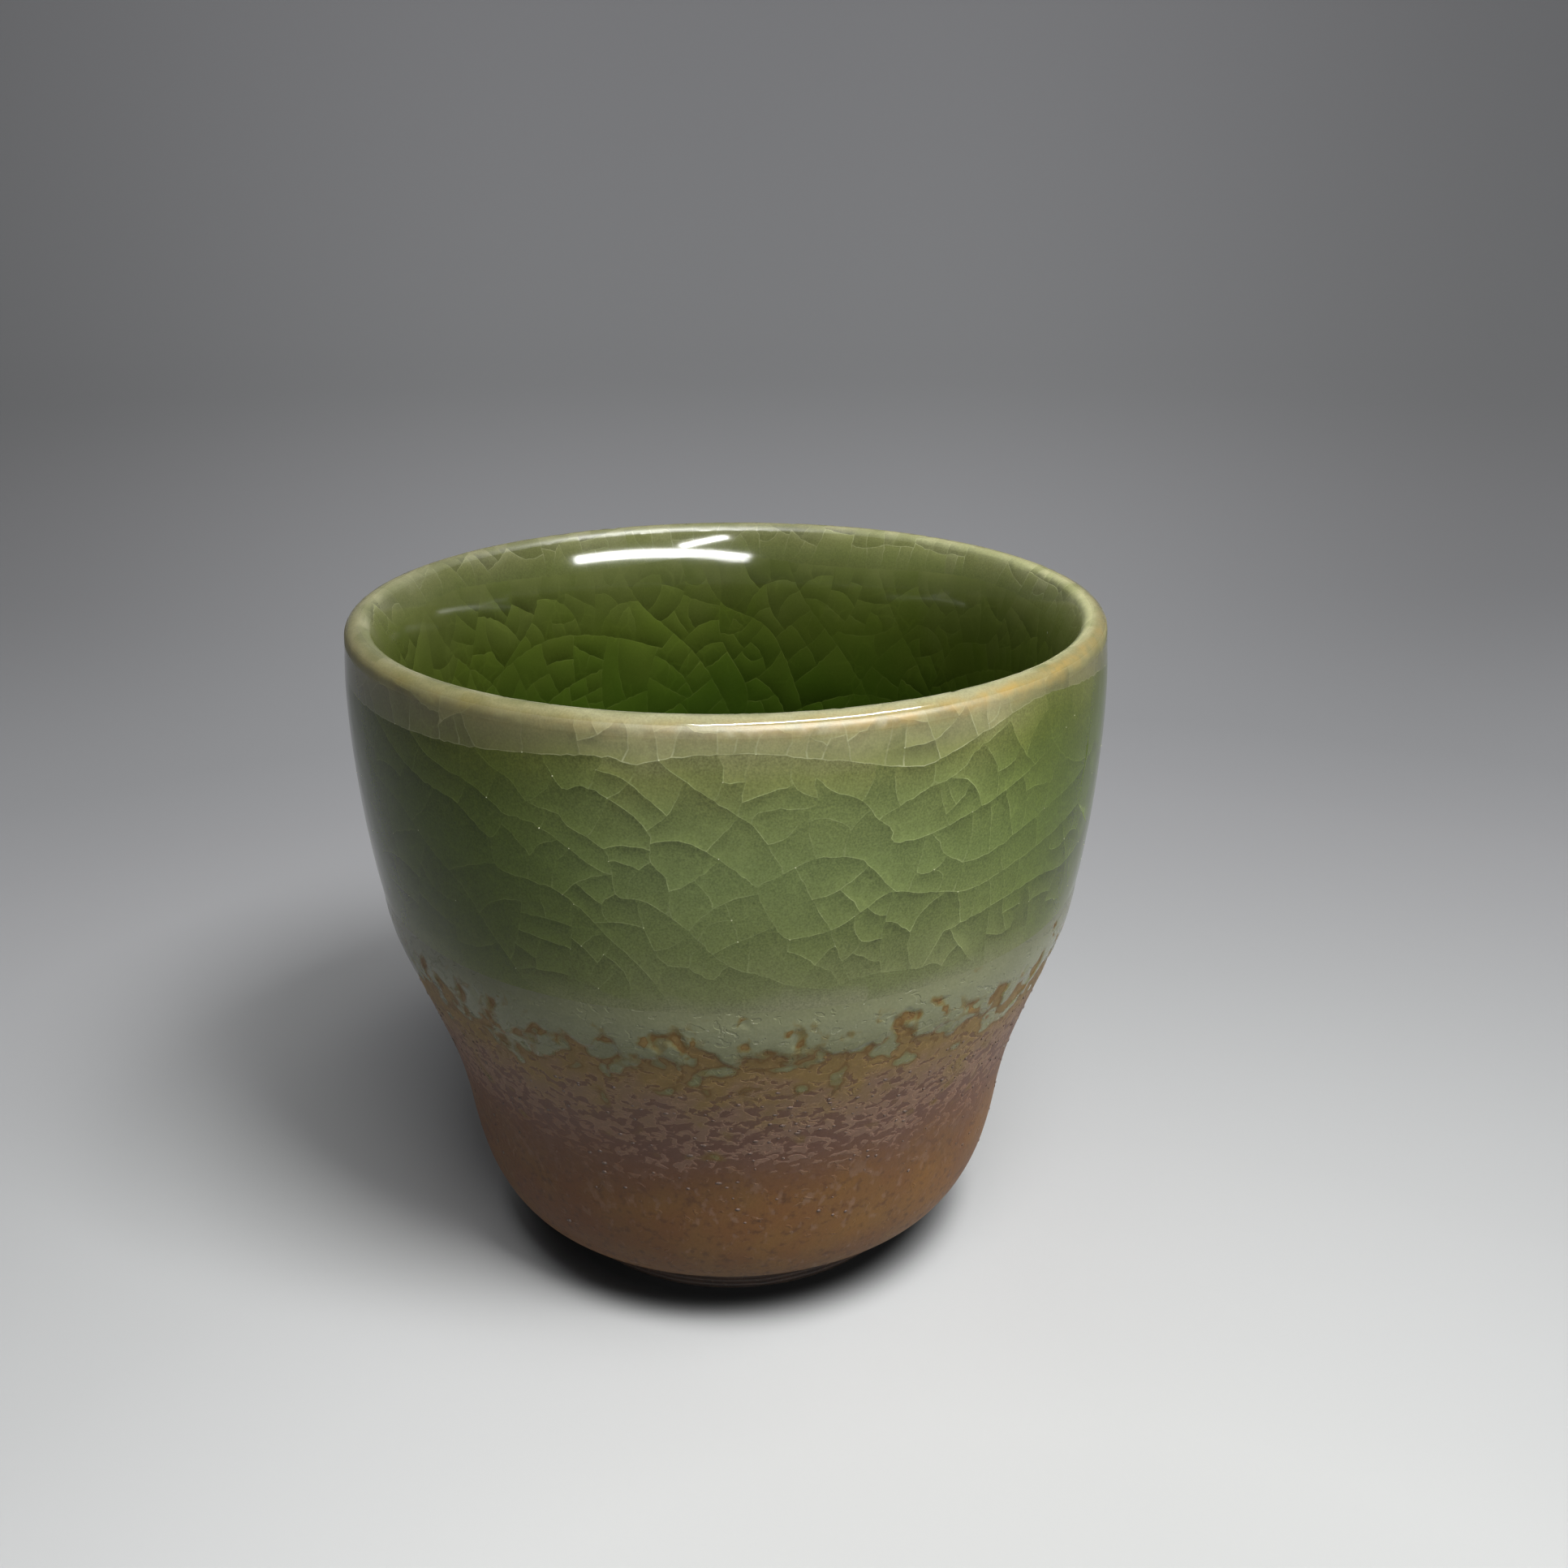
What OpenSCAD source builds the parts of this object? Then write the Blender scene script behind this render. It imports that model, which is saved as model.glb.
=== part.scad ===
// Guinomi, a small handleless cup for sake.
// Thrown stoneware on a low carved foot, iron slip round its lower half,
// and a crackled green glaze that runs down over the slip.
// The axis is +Z, and the origin is the middle of the resting face.

/* [Cup] */
// Diameter at the lip
rim_d = 65; // [56:1:76]
// Height from the resting face to the top of the lip
cup_h = 60; // [54:1:70]
// Thickness of the finished lip, glaze on both sides included
lip_t = 2.2; // [1.8:0.1:3]
// How much the wall thickens inside, on its way down from the lip
lip_swell = 2.4; // [0.8:0.1:3]
// Depth over which it thickens most
lip_swell_reach = 4.5; // [3:0.1:8]
// Thickness of the floor between the well and the hollow of the foot
floor_t = 5; // [3.5:0.1:7]

/* [Foot] */
// Diameter of the foot ring at its resting face
foot_d = 36.4; // [32:0.2:40]
// Height of the foot ring, and so the depth of the hollow inside it
foot_h = 4.6; // [4:0.1:6]
// Width of the foot ring, from its outside to its hollow
foot_ring_w = 3.6; // [2.4:0.1:5]
// How far the foot ring widens on its way up, on each side
foot_flare = 0.6; // [0:0.1:1.2]
// Bevel that rounds off the two edges of the resting face
foot_bevel = 0.4; // [0.2:0.1:0.7]
// Rise of the trimmed underside, from the ring out to the lower edge of the wall
trim_rise = 1.2; // [0.6:0.1:2]

/* [Coats outside] */
// Thickness of everything that lies on the clay outside
coat_t = 0.5; // [0.4:0.05:0.8]
// Thickness of the iron slip where glaze lies on it
slip_t = 0.3; // [0.15:0.05:0.35]
// How far the thick edge of the glaze swells out
roll_t = 0.12; // [0:0.02:0.3]
// Width of the band of bare slip, up from the lower edge
bare_slip_w = 14.7; // [10:0.1:17]
// Width of the mottled band, where thin glaze has run down the slip
run_band_w = 9.5; // [6:0.1:11]
// Width of the pale band, where the glaze stopped and stayed thick
roll_w = 7; // [4:0.1:9]
// Width of the thin glaze on the lip, down the outside
lip_band_w = 3.5; // [2:0.1:5]

/* [Coats inside] */
// Thickness of the glaze on the wall of the well
lining_t = 0.5; // [0.3:0.05:0.8]
// Thickness of the glaze that has pooled in the bottom of the well
pool_t = 0.9; // [0.5:0.05:1.4]
// Width of the thin glaze on the lip, down the inside
lip_lap_w = 3; // [2:0.1:5]

/* [Hidden] */

$fn = 144;
// Pieces that each stretch of an outline is cut into
wall_steps = 9;
lip_steps = 14;
lap_steps = 6;
well_steps = 30;

// Outline of the finished wall outside: shares of its rise, from the lower
// edge to the middle of the lip, and shares of the lip's radius there
wall_rise_shares = [0, 0.02, 0.06, 0.12, 0.19, 0.27, 0.36, 0.46, 0.57, 0.69, 0.82, 0.92, 1];
wall_radius_shares = [0.719, 0.738, 0.763, 0.784, 0.8, 0.827, 0.872,
                      0.927, 0.971, 0.997, 1.01, 1.01, 1];
// How square the well is, across and down, where 2 is a plain ellipse
well_across_power = 2.4;
well_down_power = 3;

rim_r = rim_d / 2;
lip_r = lip_t / 2;
lip_z = cup_h - lip_r;
lip_mid_r = rim_r - lip_r;
edge_z = foot_h + trim_rise;
wall_rise = lip_z - edge_z;
foot_r = foot_d / 2;
foot_top_r = foot_r + foot_flare;
hollow_r = foot_r - foot_ring_w;
hollow_top_r = hollow_r - foot_flare;
floor_z = foot_h + floor_t;

// Heights where the bands outside meet, as shares of the wall's rise
run_share = bare_slip_w / wall_rise;
roll_share = (bare_slip_w + run_band_w) / wall_rise;
glaze_share = (bare_slip_w + run_band_w + roll_w) / wall_rise;
lip_share = 1 - (lip_band_w - lip_r) / wall_rise;

// Lean of the wall's inside where it leaves the round lip
lip_lean = atan(lip_swell / lip_swell_reach);
// Share of the well's outline, from the lip to the axis, that the lip's glaze laps down
lap_drop = lip_lap_w - lip_r + lip_r * sin(lip_lean);
lap_share = acos(1 - 2 * lap_drop / (well_top_z(0) - floor_z)) / 180;

// Even steps from one number to another
function steps(from, to, count) = [for (i = [0:count]) from + (to - from) * i / count];

function backwards(points) = [for (i = [len(points) - 1:-1:0]) points[i]];

// Slope of a table of values at one of its points
function slope_at(xs, ys, i) =
    let (before = max(i - 1, 0), after = min(i + 1, len(xs) - 1))
    (ys[after] - ys[before]) / (xs[after] - xs[before]);

// The stretch of a rising table that holds a value
function stretch_of(xs, x, i = 0) =
    i >= len(xs) - 2 || x < xs[i + 1] ? i : stretch_of(xs, x, i + 1);

// A smooth curve through a table of values
function curve_at(xs, ys, x) =
    let (
        i = stretch_of(xs, x),
        span = xs[i + 1] - xs[i],
        t = (x - xs[i]) / span,
        t2 = t * t,
        t3 = t2 * t
    )
    (2 * t3 - 3 * t2 + 1) * ys[i] + (t3 - 2 * t2 + t) * span * slope_at(xs, ys, i)
    + (3 * t2 - 2 * t3) * ys[i + 1] + (t3 - t2) * span * slope_at(xs, ys, i + 1);

function wall_radius(rise) = rim_r * curve_at(wall_rise_shares, wall_radius_shares, rise);

// One stretch of wall, at a depth under the finished surface, swelling out in its middle
function wall_line(from, to, depth, swell = 0) = [
    for (i = [0:wall_steps])
        let (rise = from + (to - from) * i / wall_steps)
        [wall_radius(rise) - depth + swell * sin(180 * i / wall_steps), edge_z + wall_rise * rise]
];

// The lip's round crown, from outside to inside, with coats of two thicknesses taken off
function lip_line(depth_out, depth_in) = [
    for (i = [0:lip_steps])
        let (
            share = i / lip_steps,
            turn = (180 - lip_lean) * share,
            r = lip_r - depth_out - (depth_in - depth_out) * share
        )
        [lip_mid_r + r * cos(turn), lip_z + r * sin(turn)]
];

// Where the well's outline leaves the lip, under a coat of some thickness
function well_top_r(coat) = lip_mid_r - (lip_r - coat) * cos(lip_lean);

function well_top_z(coat) = lip_z + (lip_r - coat) * sin(lip_lean);

// Radius of the well at a drop below its top, out of its whole drop
function well_radius(top_r, drop, whole) =
    (top_r - lip_swell * (1 - exp(-drop / lip_swell_reach)))
    * pow(1 - pow(drop / whole, well_down_power), 1 / well_across_power);

// The well from one share of its outline to another, with a coat and a pool taken off
function well_line(from, to, count, coat, pool) =
    let (top_z = well_top_z(coat), whole = top_z - floor_z + pool)
    [
        for (share = steps(from, to, count))
            let (drop = whole * (1 - cos(180 * share)) / 2)
            [share == 1 ? 0 : well_radius(well_top_r(coat), drop, whole), top_z - drop]
    ];

// Thrown clay: wall, floor and the trimmed underside
module stoneware_body() {
    color("#6b5540")
    rotate_extrude()
    polygon(concat(
        [[0, foot_h], [foot_top_r, foot_h]],
        wall_line(0, run_share, coat_t),
        wall_line(run_share, roll_share, coat_t),
        wall_line(roll_share, glaze_share, coat_t),
        wall_line(glaze_share, lip_share, coat_t),
        wall_line(lip_share, 1, coat_t),
        lip_line(coat_t, lining_t),
        well_line(0, lap_share, lap_steps, lining_t, pool_t),
        well_line(lap_share, 1, well_steps, lining_t, pool_t)
    ));
}

// The ring that the cup stands on, open underneath
module foot_ring() {
    color("#5a4030")
    rotate_extrude()
    polygon([
        [hollow_r + foot_bevel, 0],
        [foot_r - foot_bevel, 0],
        [foot_r, foot_bevel],
        [foot_top_r, foot_h],
        [hollow_top_r, foot_h],
        [hollow_r, foot_bevel]
    ]);
}

// Brown slip from the lower edge up to where the glaze starts
module iron_slip() {
    color("#6a4f3a")
    rotate_extrude()
    polygon(concat(
        wall_line(0, run_share, 0),
        wall_line(run_share, roll_share, coat_t - slip_t),
        wall_line(roll_share, glaze_share, coat_t - slip_t),
        backwards(wall_line(roll_share, glaze_share, coat_t)),
        backwards(wall_line(run_share, roll_share, coat_t)),
        backwards(wall_line(0, run_share, coat_t))
    ));
}

// Thin milky glaze that ran down over the slip
module run_band() {
    color("#8b7a6c")
    rotate_extrude()
    polygon(concat(
        wall_line(run_share, roll_share, 0),
        backwards(wall_line(run_share, roll_share, coat_t - slip_t))
    ));
}

// Pale swollen edge where the green glaze stopped
module glaze_edge_roll() {
    color("#8a8f78")
    rotate_extrude()
    polygon(concat(
        wall_line(roll_share, glaze_share, 0, roll_t),
        backwards(wall_line(roll_share, glaze_share, coat_t - slip_t))
    ));
}

// Crackled green glaze round the upper wall
module outer_glaze() {
    color("#6d7a4c")
    rotate_extrude()
    polygon(concat(
        wall_line(glaze_share, lip_share, 0),
        backwards(wall_line(glaze_share, lip_share, coat_t))
    ));
}

// Thin glaze over the lip, lapping down both sides
module lip_glaze() {
    color("#b9b384")
    rotate_extrude()
    polygon(concat(
        wall_line(lip_share, 1, 0),
        lip_line(0, 0),
        well_line(0, lap_share, lap_steps, 0, 0),
        backwards(well_line(0, lap_share, lap_steps, lining_t, pool_t)),
        backwards(lip_line(coat_t, lining_t)),
        backwards(wall_line(lip_share, 1, coat_t))
    ));
}

// Deep green glaze that lines the well, thickest at the bottom
module inner_glaze() {
    color("#4c5a24")
    rotate_extrude()
    polygon(concat(
        well_line(lap_share, 1, well_steps, 0, 0),
        backwards(well_line(lap_share, 1, well_steps, lining_t, pool_t))
    ));
}

stoneware_body();
foot_ring();
iron_slip();
run_band();
glaze_edge_roll();
outer_glaze();
lip_glaze();
inner_glaze();
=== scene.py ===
import math

import bpy
import numpy as np
from mathutils import Matrix, Vector, noise
from mathutils.geometry import delaunay_2d_cdt


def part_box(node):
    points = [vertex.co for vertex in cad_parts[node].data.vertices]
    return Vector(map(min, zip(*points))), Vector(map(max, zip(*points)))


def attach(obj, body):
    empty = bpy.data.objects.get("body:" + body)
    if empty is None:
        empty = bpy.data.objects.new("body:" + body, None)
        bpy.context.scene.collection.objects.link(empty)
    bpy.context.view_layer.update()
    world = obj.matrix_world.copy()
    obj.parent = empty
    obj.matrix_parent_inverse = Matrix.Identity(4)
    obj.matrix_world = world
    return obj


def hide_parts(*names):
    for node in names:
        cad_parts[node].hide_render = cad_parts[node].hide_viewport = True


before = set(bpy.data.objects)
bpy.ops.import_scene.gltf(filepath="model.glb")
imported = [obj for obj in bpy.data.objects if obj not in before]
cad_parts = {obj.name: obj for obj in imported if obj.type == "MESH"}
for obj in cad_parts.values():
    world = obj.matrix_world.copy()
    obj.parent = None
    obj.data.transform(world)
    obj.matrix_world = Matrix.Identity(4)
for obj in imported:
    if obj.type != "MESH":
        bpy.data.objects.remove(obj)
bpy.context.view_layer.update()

# Shapes are worked out in millimetres and written to the meshes in metres
mm = 0.001
nodeBox = {name: [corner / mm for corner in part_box(name)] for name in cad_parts}

# The cup's outline: shares of the rise and of the lip's radius outside, and the well inside
outline = {
    "riseShares": [0, 0.02, 0.06, 0.12, 0.19, 0.27, 0.36, 0.46, 0.57, 0.69, 0.82, 0.92, 1],
    "radiusShares": [0.719, 0.738, 0.763, 0.784, 0.8, 0.827, 0.872, 0.927, 0.971, 0.997, 1.01, 1.01, 1],
    "lipThickness": 2.2,
    "lipSwell": 2.4,
    "lipSwellReach": 4.5,
    "poolDepth": 0.9,
    "acrossPower": 2.4,
    "downPower": 3,
    "wallPoints": 400,
    "crownPoints": 60,
    "wellPoints": 500,
}


def easedCurve(xs, ys, x):
    slopes = [(ys[min(i + 1, len(xs) - 1)] - ys[max(i - 1, 0)])
              / (xs[min(i + 1, len(xs) - 1)] - xs[max(i - 1, 0)]) for i in range(len(xs))]
    i = int(np.clip(np.searchsorted(xs, x, side="right") - 1, 0, len(xs) - 2))
    span = xs[i + 1] - xs[i]
    t = (x - xs[i]) / span
    return ((2 * t**3 - 3 * t**2 + 1) * ys[i] + (t**3 - 2 * t**2 + t) * span * slopes[i]
            + (3 * t**2 - 2 * t**3) * ys[i + 1] + (t**3 - t**2) * span * slopes[i + 1])


def drawMeridian(o):
    # Half section of the finished cup, from the lower edge outside, over the lip, to the axis
    rises = np.linspace(0, 1, o["wallPoints"])
    shares = np.array([easedCurve(o["riseShares"], o["radiusShares"], x) for x in rises])
    rimRadius = nodeBox["outer_glaze"][1].x / shares.max()
    lipRadius = o["lipThickness"] / 2
    edgeZ = nodeBox["iron_slip"][0].z
    lipZ = nodeBox["lip_glaze"][1].z - lipRadius
    floorZ = nodeBox["inner_glaze"][0].z + o["poolDepth"]
    midRadius = rimRadius - lipRadius
    lean = math.atan(o["lipSwell"] / o["lipSwellReach"])
    wall = np.stack([rimRadius * shares, edgeZ + (lipZ - edgeZ) * rises], 1)
    turn = np.linspace(0, math.pi - lean, o["crownPoints"])[1:]
    crown = np.stack([midRadius + lipRadius * np.cos(turn), lipZ + lipRadius * np.sin(turn)], 1)
    topRadius, topZ = crown[-1]
    whole = topZ - floorZ
    drop = whole * (1 - np.cos(np.linspace(0, math.pi, o["wellPoints"])[1:])) / 2
    swell = o["lipSwell"] * (1 - np.exp(-drop / o["lipSwellReach"]))
    square = np.clip(1 - (drop / whole) ** o["downPower"], 0, 1) ** (1 / o["acrossPower"])
    well = np.stack([(topRadius - swell) * square, topZ - drop], 1)
    return np.concatenate([wall, crown, well])


meridian = drawMeridian(outline)
crownIndex = int(meridian[:, 1].argmax())
along = np.concatenate([[0], np.cumsum(np.hypot(*np.diff(meridian, axis=0).T))])
along = along - along[crownIndex]      # millimetres from the top of the lip, less than nothing outside
print("meridian: %.1f mm outside, %.1f mm inside" % (-along[0], along[-1]))


def outsideAt(z):
    return float(np.interp(z, meridian[:crownIndex + 1, 1], along[:crownIndex + 1]))


def insideAt(z):
    return float(np.interp(-z, -meridian[crownIndex:, 1], along[crownIndex:]))


def radiusAt(w):
    return np.interp(w, along, meridian[:, 0])


def heightAt(w):
    return np.interp(w, along, meridian[:, 1])


def placeOnCup(angle, w):
    # Points and outward normals at angles round from the front and distances from the lip
    step = 0.05
    radius = radiusAt(w)
    rise = heightAt(w + step) - heightAt(w - step)
    spread = radiusAt(w + step) - radiusAt(w - step)
    length = np.hypot(rise, spread)
    across = np.sin(angle)
    back = -np.cos(angle)
    points = np.stack([radius * across, radius * back, heightAt(w)], -1)
    normals = np.stack([rise / length * across, rise / length * back, -spread / length], -1)
    return points, normals


zones = {
    "edge": along[0],
    "slipTop": outsideAt(nodeBox["run_band"][0].z),
    "runTop": outsideAt(nodeBox["glaze_edge_roll"][0].z),
    "rollTop": outsideAt(nodeBox["outer_glaze"][0].z),
    "innerRing": insideAt(nodeBox["inner_glaze"][1].z),
    "wellMiddle": 20,
}

# Network of cracks. It is drawn flat, as millimetres round and millimetres from the lip,
# and cut into cells by listed long cracks and then by shorter ones drawn at random
crackle = {
    "seed": 11,
    "girthRadius": 32.0,       # radius at which the wall is unrolled
    "floorHeight": 22.0,       # below this height the well is drawn as a disc
    "sway": ((1.6, 4.3, 0), (0.7, 1.9, 1)),     # of the seam at the back: size, length, shift
    "step": 0.5,               # spacing of points along a crack
    "kink": 0.16,              # how far a crack wanders from its line, and over what length
    "kinkLength": 1.9,
    "kinkSeats": (0, 7),
    "leastCut": 4,             # points of a cell's edge between the two ends of a cut
    "besideWay": 0.6,          # in steps: how near the edge's points lie to a new crack's line,
    "clearOfEdge": 0.62,       # and how far its own points keep from the edge
    "clearAlong": 0.7,
    "seamReach": 4,            # millimetres on both sides in which the seam sways
    "tries": 12,               # cracks tried across a cell, and how they differ
    "offCentre": 0.14,
    "turn": 0.34,
    "bow": 0.17,
    "leastShare": 0.12,        # of a cell, cut off by a crack
    "cellSize": 11.0,          # square millimetres, on the outside
    "cellSpread": 0.62,
    "coarse": (1.25, 0.4, 0.7),     # share of that size, how much less at the front, and angle there
    "lipCellSize": 7.0,
    "lipFrom": -4.2,           # millimetres from the top of the lip
    "lipInside": (1, 1.5),     # from here on, a share of that size
    "wellCellSize": 13.0,
    "wellTop": (12, 0.75),     # down to here, a share of that size
    "fill": 0.74,              # spacing of points inside a cell
    "fillJitter": 0.05,
    "clear": 0.5,              # distance of those points from the crack
    "rim": 0.26,               # distance of the row of points beside a crack
    "blind": 0.06,
    "down": (-0.25, -0.97),    # the plates overlap this way, the way their painted light and shade runs
    "fineReach": 0.42,
    "broadReach": 1.5,
    "strength": (0.75, 0.9, 0.11),     # of the overlap's painted light and shade: on the whole, change, and places in a millimetre
}

# What a crack across a cell is chosen by: each adds to its score, and the lowest wins
crackScore = {"uneven": 2.2, "slanted": 0.55, "long": 0.5, "onJoint": 0.35}

ringCracks = {
    "outer": [(-180, -4.1), (-150, -3.6), (-118, -4.4), (-90, -3.7), (-62, -4.5), (-38, -4.4), (-16, -3.5),
              (-12, -3.9), (-5, -3.2), (4, -3.1), (14, -4.0), (24, -5.1), (30, -4.3), (36, -3.3), (45, -2.4),
              (58, -3.0), (80, -4.2), (105, -3.6), (140, -4.6), (180, -4.1)],
    "inner": [(-180, 3.8), (-150, 4.6), (-115, 3.4), (-80, 4.3), (-40, 3.5), (0, 4.4), (35, 3.5),
              (75, 4.4), (120, 3.5), (155, 4.7), (180, 3.8)],
}

# Long cracks seen from the front: degrees round to the right, millimetres from the lip
longCracks = [
    [(-8, -4), (-3, -6), (2, -8), (4, -9.5), (6, -12), (3, -13), (5, -16), (7, -17.3), (12, -17),
     (14, -16.5), (17, -15.5), (20, -14.5), (24, -15), (28, -15.5), (33, -16), (40, -15.2), (48, -14.4),
     (58, -13.4)],
    [(26, -5), (26, -6.6), (30, -6), (32, -5), (36, -4), (40, -3)],
    [(-36, 1.0), (-36, -1.5), (-34, -3.8), (-32, -5), (-28, -6.2), (-26, -7.5), (-22, -8), (-20, -9),
     (-16, -10.3), (-15, -12), (-14.5, -14), (-11, -14.2), (-7, -15.7), (-4, -17.5), (-1, -19.3), (4, -20.5),
     (8, -21.5), (12, -22), (18, -21.3), (26, -21.8)],
    [(-27, -0.5), (-26, -2), (-24, -3.5), (-21, -6), (-18, -5.8), (-14, -6.8), (-12, -7.6), (-10, -9),
     (-10, -11), (-8, -12.5), (-8, -15.3)],
    [(-10, -9.5), (-6, -9.4), (-2, -10.6), (3, -13)],
    [(6, -12), (10, -11), (12, -11), (16, -11.5), (20, -14), (22, -14.9)],
    [(2, -8), (4, -7.1), (10, -7), (10, -5), (12, -6), (16, -7), (18, -8.5), (20, -9.5), (20, -10.5),
     (23, -10.6), (26, -10.4), (33, -9.4), (38, -8.6), (44, -7.4), (50, -6), (57, -4.4)],
    [(26, -6.6), (22, -7.6), (18, -8.5)],
    [(31, -13.5), (35, -13.4), (41, -12.5), (49, -11.4), (57, -10.6), (64, -9)],
    [(28, -15.5), (29, -14.4), (31, -13.5), (28, -12.4), (26, -10.4)],
    [(29, -19), (33, -18.6), (39, -18), (47, -17.6), (56, -18.2), (66, -17)],
    [(-70, -3.7), (-66, -7), (-58, -9.6), (-50, -11), (-44, -13.6), (-38, -16), (-33, -20), (-28, -24)],
    [(-56, -4.4), (-50, -6.6), (-44, -8), (-37, -9), (-32, -11), (-29, -9), (-26, -9), (-22, -10),
     (-18, -11.6), (-15, -12.4)],
    [(-46, -4.4), (-42, -6), (-35, -7), (-31, -8.2), (-29, -9)],
    [(-35, -7), (-37, -9)],
    [(-32, -11), (-31.5, -13.2), (-28, -13.6), (-23, -14.1), (-19, -15.6), (-16, -17.5), (-12, -19.8),
     (-9, -22.4), (-8, -24)],
    [(-12, -14.4), (-11, -17), (-9, -19.3), (-6, -19.6), (-3, -20.6), (-1, -19.4)],
    [(-28, -13.6), (-28.5, -17), (-31, -21)],
    [(46, -2.6), (48, -6.4), (54, -9), (60, -9.8)],
    [(72, -4), (68, -8), (66, -12), (60, -15), (57, -18.2)],
]

# Round the rest of the cup and down the well the long cracks lean one way and then the other.
# Each path is a row of degrees round, millimetres from the lip and share of the bend
leaningCracks = [
    {"angles": range(78, 284, 13), "run": 3, "shift": 2, "bend": 1.6,
     "path": [(0, -3.6, 0), (6, -8, 1), (15, -13, 0), (21, -17, -1), (25, -24, 0)]},
    {"angles": range(-172, 180, 16), "run": 2, "shift": 3, "bend": 2,
     "path": [(0, 4.4, 0), (5, 9, 0), (16, 15, 1), (24, 22, 0), (27, 30, 0), (33, 40, 0)]},
]
levelCracks = {"angles": range(-165, 180, 41), "way": 11, "apart": 7, "levels": 3,
               "path": [(0, 2), (12, 0), (26, -0.8), (40, 1.2), (50, 4)]}


def sweepCracks():
    drawn = []
    rng = np.random.default_rng(crackle["seed"] + 1)
    for family in leaningCracks:
        for k, angle in enumerate(family["angles"]):
            side = 1 if (k // family["run"]) % 2 else -1
            start = angle + rng.normal(0, family["shift"])
            bend = rng.normal(0, family["bend"])
            drawn.append([(start + turn * side, way + bend * share) for turn, way, share in family["path"]])
    for k, angle in enumerate(levelCracks["angles"]):
        low = levelCracks["way"] + levelCracks["apart"] * (k % levelCracks["levels"]) + rng.normal(0, 1)
        drawn.append([(angle + turn, low + rise) for turn, rise in levelCracks["path"]])
    return drawn


class Net:
    # The points of the network, kept once each, and the cells between its cracks
    def __init__(self):
        self.angles = []
        self.ways = []
        self.cells = []
        self.disc = False

    def add(self, flat):
        first = len(self.angles)
        inner = crownIndex + outline["crownPoints"]
        for x, y in flat:
            if self.disc:
                self.angles.append(math.atan2(x, -y))
                self.ways.append(float(np.interp(-math.hypot(x, y), -meridian[inner:, 0], along[inner:])))
            else:
                self.angles.append(x / crackle["girthRadius"])
                self.ways.append(y)
        return list(range(first, len(self.angles)))

    def cut(self, cell, i, j, curve):
        # Splits one cell along a curve that runs from its corner i to its corner j
        if i > j:
            i, j, curve = j, i, curve[::-1]
        # Each crack wanders a little from its line
        curve = np.array(curve).reshape(-1, 2)
        scale = crackle["kinkLength"]
        wander = [[noise.noise(Vector((x * scale, y * scale, seat))) for seat in crackle["kinkSeats"]]
                  for x, y in curve]
        curve = curve + crackle["kink"] * np.array(wander)
        ids = self.add(curve)
        ring, flat = cell["ids"], cell["flat"]
        one = dict(cell, ids=ring[i:j + 1] + ids[::-1], flat=np.concatenate([flat[i:j + 1], curve[::-1]]))
        two = dict(cell, ids=ring[j:] + ring[:i + 1] + ids,
                   flat=np.concatenate([flat[j:], flat[:i + 1], curve]))
        return one, two


def areaOf(flat):
    x, y = flat.T
    return 0.5 * float(np.sum(x * np.roll(y, -1) - np.roll(x, -1) * y))


def insideOf(flat, points):
    x, y = points[:, 0][:, None], points[:, 1][:, None]
    ax, ay = flat[:, 0][None], flat[:, 1][None]
    bx, by = np.roll(flat[:, 0], -1)[None], np.roll(flat[:, 1], -1)[None]
    crosses = (ay > y) != (by > y)
    with np.errstate(divide="ignore", invalid="ignore"):
        at = (bx - ax) * (y - ay) / (by - ay) + ax
    return (np.sum(crosses & (x < at), 1) % 2) == 1


def distanceTo(flat, points):
    edge = (np.roll(flat, -1, 0) - flat)[None]
    reach = points[:, None] - flat[None]
    t = np.clip(np.sum(reach * edge, 2) / np.maximum(np.sum(edge * edge, 2), 1e-12), 0, 1)
    return np.sqrt(np.min(np.sum((reach - edge * t[..., None]) ** 2, 2), 1))


def nearestTo(flat, point):
    return int(np.argmin(np.sum((flat - point) ** 2, 1)))


def spacedAlong(line, step):
    line = np.array(line, float)
    length = np.concatenate([[0], np.cumsum(np.hypot(*np.diff(line, axis=0).T))])
    count = max(2, int(round(length[-1] / step)) + 1)
    at = np.linspace(0, length[-1], count)
    return np.stack([np.interp(at, length, line[:, 0]), np.interp(at, length, line[:, 1])], 1)


def smoothLine(points, step):
    # A curve through the chosen points, evenly spaced
    p = np.array(points, float)
    p = np.concatenate([[2 * p[0] - p[1]], p, [2 * p[-1] - p[-2]]])
    drawn = []
    for i in range(1, len(p) - 2):
        t = np.linspace(0, 1, 12, endpoint=False)[:, None]
        drawn.append(0.5 * (2 * p[i] + (p[i + 1] - p[i - 1]) * t
                            + (2 * p[i - 1] - 5 * p[i] + 4 * p[i + 1] - p[i + 2]) * t**2
                            + (3 * p[i] - p[i - 1] - 3 * p[i + 1] + p[i + 2]) * t**3))
    return spacedAlong(np.concatenate(drawn + [p[-2:-1]]), step)


def runsInCells(net, line):
    # The stretches of a line in each cell: the cell's number and the numbers of the points
    owner = np.full(len(line), -1)
    for k, cell in enumerate(net.cells):
        low, high = cell["flat"].min(0), cell["flat"].max(0)
        near = np.all((line >= low) & (line <= high), 1) & (owner < 0)
        if near.any():
            found = np.nonzero(near)[0]
            owner[found[insideOf(cell["flat"], line[found])]] = k
    runs = []
    for k in range(len(line)):
        if runs and runs[-1][0] == owner[k]:
            runs[-1][1].append(k)
        else:
            runs.append((owner[k], [k]))
    return runs


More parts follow.
